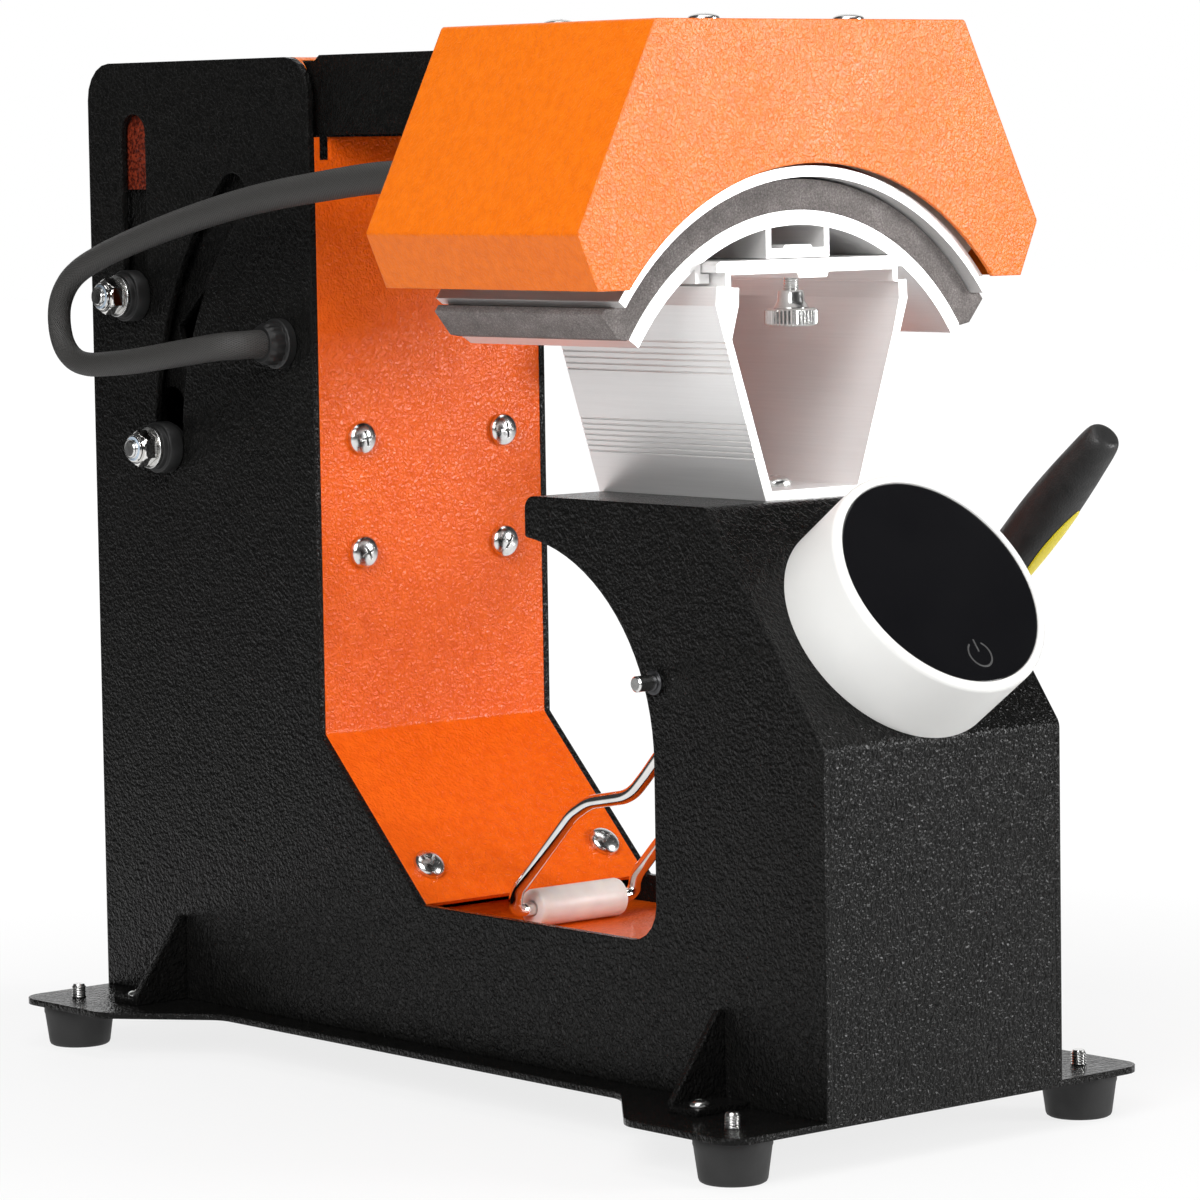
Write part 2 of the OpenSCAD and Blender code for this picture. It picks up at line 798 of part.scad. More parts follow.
/* ---------- control drum ---------- */
module on_slope() {
    translate([0, drum_y, drum_z])
        rotate([slope_a, 0, 0])
            children();
}
drum_wall = 2.5;
glass_t = 1.6;
module drum_base() {
    color([0.9, 0.9, 0.9])
        on_slope()
            difference() {
                cylinder(h = 3, r = drum_r - drum_wall - 0.2, $fn = 96);
                translate([0, 0, -1])
                    cylinder(h = 5, r = 8);
            }
}
module drum_ring() {
    color([0.96, 0.96, 0.95])
        on_slope()
            rotate_extrude($fn = 96)
                polygon([[drum_r - drum_wall, 0], [drum_r, 0], [drum_r, drum_h - 1.5],
                         [drum_r - 0.5, drum_h - 0.4], [drum_r - 1.5, drum_h], [glass_r + 0.1, drum_h],
                         [glass_r + 0.1, drum_h - glass_t - 0.5], [glass_r - 2, drum_h - glass_t - 0.5],
                         [glass_r - 2, drum_h - glass_t - 2.5],
                         [drum_r - drum_wall, drum_h - glass_t - 2.5]]);
}
module drum_glass() {
    color([0.02, 0.02, 0.02])
        on_slope()
            translate([0, 0, drum_h - glass_t - 0.5])
                cylinder(h = glass_t, r = glass_r, $fn = 96);
}
module drum_board() {
    color([0.1, 0.35, 0.2])
        on_slope()
            difference() {
                union() {
                    translate([0, 0, 14])
                        cylinder(h = 1.6, r = 38, $fn = 64);
                    for (a = [45:90:315])
                        rotate(a)
                            translate([30, 0, 3])
                                cylinder(h = 11, r = 3);
                    translate([-18, -12, 15.6])
                        cube([36, 24, 13]);
                }
                translate([0, 0, 10])
                    cylinder(h = 5.6, r = 1.5);
            }
}
// The board on the base plate and the one behind the drum's glass
module circuit_boards() {
    power_board();
    drum_board();
}

/* ---------- post and lower platen ---------- */
lip_t = 4;
groove_h = 5;
post_screw_v = [post_in + 22, post_in + post_d - 22];
// One side of the post's section, X outwards and Z down from the top of the post
function post_outer(side) =
    let (kink = [post_top_x + 0.5, -16], low = [post_low_x, -post_h],
         along = unit(low - kink), out = [along.y, -along.x]*-1,
         bands = [for (s = [14:2.4:28]) s, for (s = [46:2.2:60]) s])
    [for (p = concat(
        [[post_top_x, 0], [post_top_x, -lip_t], [post_top_x - 4.5, -lip_t],
         [post_top_x - 4.5, -lip_t - groove_h], [post_top_x, -lip_t - groove_h], kink],
        [for (s = bands) each [kink + along*s, kink + along*(s + 0.4) - out*0.4,
                               kink + along*(s + 0.8)]],
        [low])) [side*p.x, p.y]];
// The left wall is thicker below the groove than the right one
function post_inner(side) =
    let (t = side < 0 ? 11 : 4)
    [for (p = [[post_top_x - 7, -5], [post_top_x - 7, -9.5], [post_top_x - t, -9.8],
               [post_top_x - t + 0.2, -16], [post_top_x - 7.2, -28.5],
               [post_low_x - 3.2, -post_h + 3.5]])
        [side*p.x, p.y]];
function reversed(p) = [for (i = [len(p) - 1:-1:0]) p[i]];
thumb_y = fy(post_in + 12);
thumb_d = 6;
module platen_post() {
    boss_w = 16;
    color(alu)
        difference() {
            pull_y(fy(post_in), fy(post_in + post_d))
                translate([0, post_top_z])
                    difference() {
                        intersection() {
                            polygon(concat(post_outer(1), reversed(post_outer(-1))));
                            translate([0, platen_z - post_top_z])
                                circle(r = platen_r - platen_t - 0.4, $fn = 128);
                        }
                        difference() {
                            polygon(concat(post_inner(1), reversed(post_inner(-1))));
                            polygon([[-boss_w/2, -4.9], [boss_w/2, -4.9], [boss_w/2 - 1, -7],
                                     [1 - boss_w/2, -7]]);
                        }
                    }
            // Threaded hole for the thumb screw, which presses on the platen from below
            translate([0, thumb_y, post_top_z - 10])
                cylinder(h = 20, r = thumb_d/2 + run_c);
            for (v = post_screw_v)
                translate([0, fy(v), bz(pedestal_h) - 5])
                    cylinder(h = 10, d = 6 + 2*screw_c);
        }
}
module post_screws() {
    color(steel)
        for (v = post_screw_v) {
            translate([0, fy(v), bz(pedestal_h) + 3.5])
                pan_screw(12, 4, 6, 3.5 + sheet_t + 9);
            translate([0, fy(v), bz(pedestal_h) - sheet_t - 5])
                hex_nut(10, 5, 6 + 2*run_c);
        }
}
box_x = 16;
box_wall = 2.6;
box_low = post_top_z + 0.3;
module lower_platen() {
    bar_t = 3.6;
    leg_x = post_top_x + 0.6;
    color(alu)
        pull_y(fy(platen_in), fy(platen_in + platen_d))
            union() {
                translate([0, platen_z])
                    ring_sector_2d(platen_r - platen_t, platen_r, platen_a);
                intersection() {
                    union() {
                        for (s = [-1, 1])
                            translate([s*(box_x - box_wall/2) - box_wall/2, box_low])
                                square([box_wall, 40]);
                        translate([-box_x, box_low])
                            square([2*box_x, bar_t]);
                        translate([0, box_low + bar_t - 0.1])
                            polygon([[-7.5, 0], [7.5, 0], [6.5, 1.3], [-6.5, 1.3]]);
                    }
                    translate([0, platen_z])
                        circle(r = platen_r - 1, $fn = 128);
                }
                // Hooks that run under the lips of the post
                intersection() {
                    for (s = [-1, 1])
                        scale([s, 1]) {
                            translate([leg_x, post_top_z - lip_t - 4])
                                square([2.6, 30]);
                            translate([post_top_x - 3.6, post_top_z - lip_t - 4])
                                square([6.8, 3.6]);
                        }
                    translate([0, platen_z])
                        circle(r = platen_r - 1, $fn = 128);
                }
            }
}
module platen_pad() {
    tip_a = platen_a + 0.6;
    r_mid = platen_r + pad_t + 4.5;
    color([0.42, 0.41, 0.40])
        pull_y(fy(platen_in), fy(platen_in + platen_d))
            translate([0, platen_z]) {
                ring_sector_2d(platen_r, pad_r, platen_a - 4);
                for (s = [-1, 1])
                    scale([s, 1])
                        difference() {
                            polygon([(platen_r - 1)*pol(platen_a - 5), pad_r*pol(platen_a - 5),
                                     pad_r*pol(platen_a - 4), pad_r*pol(heat_a + 0.6),
                                     r_mid*pol(heat_a + 1.2), r_mid*pol(tip_a - 0.8),
                                     (platen_r + 5)*pol(tip_a + 1), (platen_r - 1)*pol(platen_a)]);
                            circle(r = platen_r, $fn = 128);
                        }
            }
}
function pol(a) = [sin(a), cos(a)];
module thumb_screw() {
    knob_r = 10;
    z0 = post_top_z - 6.5;
    color(steel)
        translate([0, thumb_y, z0]) {
            translate([0, 0, -5.5])
                cylinder(h = 5.5 + 6.5 + 0.15, d = thumb_d);
            rotate_extrude()
                polygon([[0, -12], [7.2, -12], [6.6, -11], [5.4, -9.5], [5.2, -6.2], [4.8, -5.2], [0, -5.2]]);
            translate([0, 0, -18.5])
                linear_extrude(6.6)
                    polygon([for (i = [0:71]) (knob_r - (i % 2)*0.6)*[cos(i*5), sin(i*5)]]);
        }
}
/* ---------- cap hold-down ---------- */
clip_x = half_w + 1.5;
module pivot_rod() {
    color(steel)
        difference() {
            x_rod(-half_w - 11, half_w + 11, pivot_d/2, pivot_y, pivot_z);
            both_sides()
                clip_ring(pivot_d/2 + 1, pivot_d/2 - 0.7, 0);
        }
}
module clip_ring(r1, r0, play) {
    difference() {
        x_rod(clip_x - play, clip_x + 1 + play, r1, pivot_y, pivot_z);
        x_rod(clip_x - 1, clip_x + 2, r0, pivot_y, pivot_z);
    }
}
module pivot_clips() {
    color(steel)
        both_sides()
            clip_ring(6, pivot_d/2 - 0.65, -0.05);
}
// The wire's side view, from its eye on the pivot to the roller's axis
function wire_side() = [
    [pivot_y + 5.2, pivot_z - 4.6], wire_at(0.33, 0.60), wire_at(0.41, 0.51),
    wire_at(0.615, 0.465), wire_at(0.70, 0.41), wire_at(0.985, 0.08), [roller_y, roller_z]];
// A point of the wire, by its share of the run from pivot to roller and of the height
function wire_at(run, rise) =
    [pivot_y + run*(roller_y - pivot_y), roller_z + rise*(pivot_z - roller_z)];
module hold_down_wire() {
    side = wire_side();
    r = wire_d/2;
    color(steel)
        difference() {
            union() {
                both_sides() {
                    for (i = [0:len(side) - 2])
                        rod_between([wire_x, side[i].x, side[i].y],
                                    [wire_x, side[i + 1].x, side[i + 1].y], r);
                    for (i = [1:len(side) - 1])
                        translate([wire_x, side[i].x, side[i].y])
                            sphere(r = r + 0.03, $fn = 32);
                    x_rod(wire_x - r, wire_x + r, pivot_d/2 + 3.6, pivot_y, pivot_z);
                }
                x_rod(-wire_x, wire_x, r, roller_y, roller_z);
            }
            x_rod(-wire_x - 10, wire_x + 10, pivot_d/2 + run_c, pivot_y, pivot_z);
        }
}
module rod_between(a, b, r) {
    d = b - a;
    translate(a)
        rotate([0, acos(d.z/norm(d)), atan2(d.y, d.x)])
            cylinder(h = norm(d), r = r, $fn = 32);
}
module hold_down_roller() {
    color([0.93, 0.92, 0.90, 0.9])
        difference() {
            x_rod(-roller_l/2, roller_l/2, roller_d/2, roller_y, roller_z);
            x_rod(-roller_l/2 - 1, roller_l/2 + 1, wire_d/2 + run_c, roller_y, roller_z);
        }
}
spring_turns = 5;
module return_spring() {
    w = 1.2;
    mid_r = pivot_d/2 + 1.6;
    color(steel)
        translate([0, pivot_y, pivot_z])
            rotate([0, 90, 0])
                translate([0, 0, -spring_turns*(w + 0.5)/2])
                    difference() {
                        cylinder(h = spring_turns*(w + 0.5), r = mid_r + w/2);
                        translate([0, 0, -1])
                            cylinder(h = spring_turns*(w + 0.5) + 2, r = mid_r - w/2);
                    }
}

/* ---------- axles ---------- */
module axle(y, z) {
    color(steel)
        x_rod(-nut_end - 1.5, nut_end + 1.5, axle_r, y, z);
}
module bushes(y, z, slot_w) {
    color(dark)
        both_sides()
            difference() {
                union() {
                    x_rod(half_w + 0.2, bush_end, bush_d/2, y, z);
                    x_rod(inner_x + 0.5, half_w + 1, slot_w/2 - 0.3, y, z);
                }
                x_rod(inner_x - 5, bush_end + 5, axle_r + run_c, y, z);
            }
}
module washers(y, z) {
    color(steel)
        both_sides()
            difference() {
                x_rod(bush_end, nut_start, washer_r, y, z);
                x_rod(bush_end - 1, nut_start + 1, axle_r + run_c, y, z);
            }
}
module axle_nuts(y, z) {
    color(steel)
        both_sides()
            translate([nut_start, y, z])
                rotate([0, 90, 0])
                    difference() {
                        union() {
                            hex_nut(axle_nut_af, axle_nut_l - 2, axle_d + 2*run_c);
                            cylinder(h = axle_nut_l, r = 5.6);
                        }
                        translate([0, 0, -1])
                            cylinder(h = axle_nut_l + 2, r = axle_r + run_c);
                    }
}
module lift_axle() { axle(lift_y, lift_z); }
module lift_bushes() { bushes(lift_y, lift_z, lift_slot_w); }
module lift_washers() { washers(lift_y, lift_z); }
module lift_nuts() { axle_nuts(lift_y, lift_z); }
module guide_axle() { axle(guide_y, guide_z); }
module guide_bushes() { bushes(guide_y, guide_z, guide_slot_w); }
module guide_washers() { washers(guide_y, guide_z); }
module guide_nuts() { axle_nuts(guide_y, guide_z); }

// Hangs from the lift axle and is raised by the lever's crank pin
crank_pin_d = 12;
crank_play = 1.1;
module lift_hanger() {
    back = back_y - sheet_t - 4;
    slot_y = crank_y - crank_r*(1 - cos(lever_swing/2));
    foot_front = slot_y - 12;
    color(dark)
        difference() {
            union() {
                pull_x(hanger_x0, hanger_x0 + hanger_t)
                    difference() {
                        polygon([[lift_y - 11, lift_z + 10], [lift_y - 11, crank_z + 24],
                                 [foot_front, crank_z + 13], [foot_front, crank_z - 13],
                                 [back, crank_z - 13], [back, lift_z + 10]]);
                        translate([slot_y, crank_z - crank_pin_d/2 - crank_play])
                            square([crank_y - slot_y, crank_pin_d + 2*crank_play]);
                        for (y = [slot_y, crank_y])
                            translate([y, crank_z])
                                circle(r = crank_pin_d/2 + crank_play);
                    }
                x_rod(-20, hanger_x0 + hanger_t + 8, 9, lift_y, lift_z);
            }
            x_rod(-30, hanger_x0 + hanger_t + 20, axle_r + run_c, lift_y, lift_z);
        }
}

/* ---------- head ---------- */
// The guide axle seen from the arms, from the lift axle, at a share s of the lever's swing
function guide_seen(s) =
    let (a = guide_arc_a*s, t = tilt_angle*s, y = guide_arc_y + guide_arc_r*cos(a) - lift_y,
         z = guide_z + guide_arc_r*sin(a) - lift_z - lift_travel*s)
    [y*cos(t) - z*sin(t), y*sin(t) + z*cos(t)];
guide_track = [for (s = [0:0.125:1]) guide_seen(s)];
guide_angles = [for (p = guide_track) atan2(-p.x, -p.y)];
// The arms' window lies along the middle of that track, forward of straight down
window_a = (min(guide_angles) + max(guide_angles))/2;
window_play = 0.9;
function window_side(i) = norm(guide_track[i])*sin(guide_angles[i] - window_a);
function window_reach(i) = norm(guide_track[i])*cos(guide_angles[i] - window_a);
window_w = axle_d + 2*window_play + 2*max([for (i = [0:8]) abs(window_side(i))]);
window_r0 = min([for (i = [0:8]) window_reach(i)]) - 2;
window_r1 = max([for (i = [0:8]) window_reach(i)]) + 2;
module arm_outline() {
    back = lift_y + 20;
    under = top_z - cover_t - 0.3;
    difference() {
        union() {
            polygon(rounded([[hood_y0 + 10, arm_top, 0], [cover_y0 - 5, arm_top, 1],
                             [cover_y0 - 2, under, 1], [back, under, 20], [back, lift_z - 14, 14],
                             [lift_y - 18, lift_z - 14, 10], [column_y + 22, arm_low - 14, 8],
                             [column_y + 6, arm_low, 4], [hood_y0 + 10, arm_low, 0]]));
            translate([lift_y, lift_z])
                rotate(-window_a) {
                    translate([-window_w/2 - 6, -window_r1])
                        square([window_w + 12, window_r1]);
                    translate([0, -window_r1])
                        circle(r = window_w/2 + 6);
                }
        }
        translate([lift_y, lift_z]) {
            circle(r = axle_r + run_c);
            rotate(-window_a) {
                translate([-window_w/2, -window_r1])
                    square([window_w, window_r1 - window_r0]);
                translate([0, -window_r1])
                    circle(r = window_w/2);
                translate([0, -window_r0])
                    circle(r = window_w/2);
            }
        }
    }
}
stud_x = 18;
stud_v = [hood_in + 46, heat_in + heat_d - 20];
module head_arms() {
    color(black)
        difference() {
            union() {
                both_sides()
                    pull_x(arm_x, arm_x + arm_t)
                        arm_outline();
                translate([-arm_x - eps, hood_y0 + 10, arm_top - arm_t])
                    cube([2*arm_x + 2*eps, cover_y0 - 5 - hood_y0 - 10, arm_t]);
                translate([-arm_x - eps, cover_y0, top_z - 12])
                    cube([2*arm_x + 2*eps, lift_y - 20 - cover_y0, arm_t]);
                translate([-arm_x - eps, column_y - 6, arm_low])
                    cube([2*arm_x + 2*eps, arm_t, arm_h]);
            }
            at_hood_screws()
                translate([0, 0, -20])
                    cylinder(h = 40, r = 3 + screw_c);
            at_studs()
                translate([0, 0, -20])
                    cylinder(h = 40, r = 3 + screw_c);
            both_sides()
                for (p = cover_screw_at)
                    x_rod(arm_x - 1, arm_x + arm_t + 1, 2 + screw_c, p.x, p.y);
        }
}
cover_t = 1.5;
cover_x = inner_x - gap - cover_t;
cover_y0 = column_y + 6;
cover_y1 = lift_y + 22;
cover_low = top_z - 52;
cover_screw_at = [[cover_y0 + 18, arm_top - 22], [lift_y - 20, arm_top - 22]];
module head_cover() {
    step_y = lift_y - 22;
    color(orange)
        difference() {
            pull_x(-cover_x - cover_t, cover_x + cover_t)
                difference() {
                    polygon(rounded([[cover_y0, top_z, 9], [cover_y1, top_z, 9],
                                     [cover_y1, cover_low, 6], [step_y, cover_low, 2],
                                     [step_y, cover_low + 13, 2], [cover_y0, cover_low + 13, 6]]));
                }
            translate([-cover_x, cover_y0 - 1, cover_low - 1])
                cube([2*cover_x, cover_y1 - cover_y0 + 2, top_z - cover_t - cover_low + 1]);
            both_sides()
                for (p = cover_screw_at)
                    x_rod(arm_x, inner_x, 2 + screw_c, p.x, p.y);
        }
}
module cover_screws() {
    color(steel)
        both_sides()
            for (p = cover_screw_at)
                difference() {
                    x_rod(arm_x - 3, cover_x + cover_t + 0.5, 2, p.x, p.y);
                    x_rod(cover_x + cover_t + 0.2, inner_x, 1, p.x, p.y);
                }
    color(dark)
        both_sides()
            for (p = cover_screw_at)
                difference() {
                    x_rod(arm_x + arm_t, cover_x, 5, p.x, p.y);
                    x_rod(arm_x, inner_x, 2 + run_c, p.x, p.y);
                }
}
function hood_half(t) =
    let (s = hood_outline_side(t)) concat(s, [for (i = [len(s) - 1:-1:0]) [-s[i].x, s[i].y, s[i][2]]]);
// One side of the hood's section, moved in by a wall of t
function hood_outline_side(t) =
    let (p = [[hood_low_x, hood_low_z], [hood_mid_x, hood_mid_z], [hood_top_x, hood_top_z],
              [0, hood_top_z]],
         q = [for (i = [0:3]) shifted(p, i, t)],
         low = t > 0 ? [q[0].x + (hood_low_z - 2 - q[0].y)*(q[0].x - q[1].x)/(q[0].y - q[1].y),
                        hood_low_z - 2] : q[0])
    [[low.x, low.y, 0], [q[1].x, q[1].y, 2], [q[2].x, q[2].y, 2]];
hood_screw_v = [hood_in + 20, hood_in + hood_d - 19];
hood_screw_x = 36.5;
module at_hood_screws() {
    for (x = [-hood_screw_x, hood_screw_x])
        for (v = hood_screw_v)
            translate([x, fy(v), hood_top_z])
                children();
}
module at_studs() {
    for (x = [-stud_x, stud_x])
        for (v = stud_v)
            translate([x, fy(v), arm_top])
                children();
}
grommet_x = 30 - hood_mid_x;
grommet_z = hood_mid_z + 20.5;
module hood() {
    color(orange)
        difference() {
            pull_y(hood_y0, hood_y1)
                polygon(rounded(hood_half(0), 3));
            pull_y(hood_y0 + hood_t, hood_y1 - hood_t)
                polygon(rounded(hood_half(hood_t), 3));
            y_rod(hood_y0 - 5, hood_y1 + 5, hood_cut_r, 0, platen_z);
            translate([-arm_x - arm_t - gap, hood_y1 - 10, arm_low - gap])
                cube([2*(arm_x + arm_t + gap), 20, arm_h + 2*gap]);
            y_rod(hood_y1 - 10, hood_y1 + 10, 8 + screw_c, grommet_x, grommet_z);
            at_hood_screws()
                translate([0, 0, -5])
                    cylinder(h = 10, r = 3 + screw_c);
        }
}
module hood_screws() {
    spacer = arm_drop;
    color(steel)
        at_hood_screws() {
            pan_screw(12, 2.6, 6, hood_t + spacer + arm_t + 4);
            translate([0, 0, -hood_t - spacer])
                difference() {
                    cylinder(h = spacer, r = 5);
                    translate([0, 0, -1])
                        cylinder(h = spacer + 2, r = 3 + run_c);
                }
        }
}
heat_v = [heat_in, heat_in + heat_d];
lug_h = 9;
module heated_platen() {
    color(alu)
        difference() {
            union() {
                pull_y(fy(heat_in), fy(heat_in + heat_d))
                    translate([0, platen_z])
                        ring_sector_2d(heat_r, heat_back, heat_a);
                at_lugs()
                    translate([-7, -7, -3])
                        cube([14, 14, lug_h + 3]);
            }
            at_studs()
                translate([0, 0, -arm_h - 40])
                    cylinder(h = 60, r = 3 + run_c);
            y_rod(fy(heat_in) - 1, fy(heat_in + heat_d) + 1, heat_r, 0, platen_z);
        }
}
lug_z = platen_z + sqrt(heat_back*heat_back - stud_x*stud_x);
module at_lugs() {
    for (x = [-stud_x, stud_x])
        for (v = stud_v)
            translate([x, fy(v), lug_z])
                children();
}
module lug_holes(grow) {
    at_lugs()
        translate([-7 - grow, -7 - grow, -12])
            cube([14 + 2*grow, 14 + 2*grow, 50]);
}
module heater_mat() {
    color([0.55, 0.18, 0.12])
        difference() {
            pull_y(fy(heat_in + 6), fy(heat_in + heat_d - 6))
                translate([0, platen_z])
                    ring_sector_2d(heat_back, heat_back + mat_t, heat_a - 6);
            lug_holes(0.5);
        }
}
module insulation() {
    color([0.92, 0.90, 0.84])
        difference() {
            pull_y(fy(heat_in + 7), fy(heat_in + heat_d - 7))
                translate([0, platen_z])
                    ring_sector_2d(heat_back + mat_t, heat_back + mat_t + wool_t, heat_a - 6);
            lug_holes(0.5);
        }
}
module platen_studs() {
    low = lug_z + 1;
    color(steel)
        at_studs() {
            translate([0, 0, low - arm_top])
                cylinder(h = arm_top - low + 3.4, r = 3);
            translate([0, 0, -arm_t - 5])
                hex_nut(10, 5, 6);
        }
}
module cable_grommet() {
    color(dark)
        translate([grommet_x, hood_y1, grommet_z])
            rotate([-90, 0, 0])
                difference() {
                    union() {
                        cylinder(h = 3, r = 11);
                        translate([0, 0, -hood_t - 3])
                            cylinder(h = hood_t + 3, r = 8);
                        translate([0, 0, -hood_t - 5])
                            cylinder(h = 4, r = 9.6);
                        cylinder(h = 10, r1 = 9.4, r2 = 7.6);
                    }
                    translate([0, 0, -20])
                        cylinder(h = 22, r = cable_d/2 - 0.5);
                    translate([0, 0, 2])
                        cylinder(h = 12, r = cable_d/2 + 0.05);
                }
}

/* ---------- lever ---------- */
arm_bend = [lever_y - 115, lever_z + 66];
arm_end = [lever_y - 158, lever_z + 42];
grip_base = [fy(slope_d + 43), pedestal_z - 46];
grip_dir = unit([-46, 45]);
function rod_path() = [
    [lever_arm_x + lever_arm_t + rod_d/2 - 1, arm_bend.x - 6, arm_bend.y - 4],
    [lever_arm_x + lever_arm_t + rod_d/2 - 1, arm_end.x + 14, arm_end.y + 7.5],
    [rod_x - 4, lever_y - 184, lever_z + 26], [rod_x, lever_y - 194, lever_z + 19],
    [rod_x, grip_base.x + 24, grip_base.y + 1], [rod_x, grip_base.x + 15, grip_base.y - 4.4],
    [rod_x, grip_base.x + 8, grip_base.y - 5],
    [rod_x, grip_base.x, grip_base.y]];
module lever_arm() {
    path = rod_path();
    r = rod_d/2;
    neck_end = grip_base + grip_dir*(grip_l - 20);
    color(black)
        difference() {
            union() {
                x_rod(inner_x - 23, lever_arm_x + lever_arm_t + 4, shaft_d/2, lever_y, lever_z);
                pull_x(lever_arm_x, lever_arm_x + lever_arm_t)
                    arm_strip();
                for (i = [0:len(path) - 2])
                    rod_between(path[i], path[i + 1], r);
                for (p = path)
                    translate(p)
                        sphere(r = r + 0.04, $fn = 32);
                rod_between([rod_x, grip_base.x, grip_base.y], [rod_x, neck_end.x, neck_end.y], 4);
                // Crank inside the column, with the pin that carries the lift hanger
                pull_x(crank_x, crank_x + crank_t)
                    crank_2d();
                x_rod(hanger_x0 - 3, crank_x + 1, crank_pin_d/2, crank_y, crank_z);
            }
        }
}
crank_x = inner_x - 23;
crank_t = 10;
module arm_strip() {
    w = 9;
    circle_at([lever_y, lever_z], 14);
    strip_2d([lever_y, lever_z], arm_bend, w);
    circle_at(arm_bend, w);
    strip_2d(arm_bend, arm_end, w);
    circle_at(arm_end, w);
}
module circle_at(p, r) {
    translate(p)
        circle(r = r);
}
module strip_2d(a, b, half) {
    n = left_of(a, b)*half;
    polygon([a + n, b + n, b - n, a - n]);
}
module crank_2d() {
    circle_at([lever_y, lever_z], shaft_d/2 + 4);
    strip_2d([lever_y, lever_z], [crank_y, crank_z], 8);
    circle_at([crank_y, crank_z], 9);
}
module lever_grip() {
    d = grip_d;
    color([0.06, 0.06, 0.06])
        translate([rod_x, grip_base.x, grip_base.y])
            rotate([atan2(-grip_dir.x, grip_dir.y), 0, 0])
                rotate_extrude()
                    polygon([[4 + run_c, 7], [rod_d/2 + 0.6, 7], [rod_d/2 + 0.6, 3],
                             [d/2 - 3, 3], [d/2 - 2.4, 4], [d/2 - 1.2, 16],
                             [d/2 - 0.2, 32], [d/2, 48], [d/2 - 0.6, 64], [d/2 - 2, grip_l - 8],
                             [d/2 - 3, grip_l - 3], [d/2 - 5.5, grip_l], [0, grip_l],
                             [0, grip_l - 19.8], [4 + run_c, grip_l - 19.8]]);
}

/* ---------- cable ---------- */
// From the gland on the left plate round to the hood, chosen by hand
cable_route = [
    [-68, 91, 275.1], [-73, 91, 275.2], [-79, 93, 275], [-84, 99, 274.5], [-87.5, 110, 273],
    [-90, 128, 270.5], [-91, 148, 268], [-91.5, 166, 266.5], [-91.5, 180, 266],
    [-91.5, 190, 268], [-91.5, 197, 273.5], [-91.5, 200, 282], [-91.5, 199, 291],
    [-91.5, 193, 299], [-91.5, 183, 305], [-91, 168, 310.5], [-91, 150, 315.5],
    [-90.5, 130, 320.5], [-90, 110, 325], [-89, 85, 330], [-88, 60, 334], [-87, 35, 337],
    [-86.3, 5, 340], [-86, -12, 341], [-86, -27, 341], [-86, -33.6, 341]];
cable_top = 14;
// The loop keeps its place by the gland, and the run after point cable_top ends at the hood
function cable_point(i) =
    let (p = cable_route[i], first = cable_route[0], last = cable_route[len(cable_route) - 1],
         k = i < cable_top ? 0 : (cable_route[cable_top].y - p.y)/(cable_route[cable_top].y - last.y),
         by_gland = [-half_w - 8, gland_y, gland_z] - first,
         by_hood = [grommet_x, hood_y1 + 2, grommet_z] - last)
    p + (1 - k)*by_gland + k*by_hood;
function ring_dir(p, i) =
    let (n = len(p)) unit(p[min(i + 1, n - 1)] - p[max(i - 1, 0)]);
module head_cable() {
    sides = 10;
    n = len(cable_route);
    p = [for (i = [0:n - 1]) cable_point(i)];
    // Rings stay untwisted: each takes its side from the X axis
    rings = [for (i = [0:n - 1])
        let (t = ring_dir(p, i), s = unit(cross(t, abs(t.x) > 0.8 ? [0, 0, 1] : [1, 0, 0])),
             o = cross(t, s))
        [for (k = [0:sides - 1]) p[i] + cable_d/2*(cos(360*k/sides)*s + sin(360*k/sides)*o)]];
    color([0.05, 0.05, 0.05])
        polyhedron(
            points = [for (ring = rings) each ring],
            faces = concat(
                [[for (k = [0:sides - 1]) k]],
                [for (i = [0:n - 2]) for (k = [0:sides - 1]) each [
                    [i*sides + k, (i + 1)*sides + k, (i + 1)*sides + (k + 1) % sides],
                    [i*sides + k, (i + 1)*sides + (k + 1) % sides, i*sides + (k + 1) % sides]]],
                [[for (k = [sides - 1:-1:0]) (n - 1)*sides + k]]));
}

base_plate();
side_plate_left();
side_plate_right();
rear_side_right();
upper_side_right();
pedestal_side_right();
pedestal_cover();
pedestal_back();
column_panel();
floor_sheet();
rear_cover();
column_brace();
panel_brackets();
gussets();
rubber_feet();
foot_screws();
gusset_screws();
panel_screws();
hanger_guide();
lever_bearing();
cable_gland();
power_inlet();
switch_housing();
switch_rocker();
circuit_boards();
drum_ring();
drum_glass();
drum_base();
platen_post();
post_screws();
lower_platen();
platen_pad();
thumb_screw();
pivot_rod();
pivot_clips();
hold_down_wire();
hold_down_roller();
return_spring();
lift_axle();
lift_bushes();
lift_washers();
lift_nuts();
lift_hanger();
guide_axle();
guide_bushes();
guide_washers();
guide_nuts();
head_arms();
head_cover();
cover_screws();
hood();
hood_screws();
heated_platen();
heater_mat();
insulation();
platen_studs();
cable_grommet();
lever_arm();
lever_grip();
head_cable();
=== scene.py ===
import math
import random

import bmesh
import bpy
from mathutils import Matrix, Vector


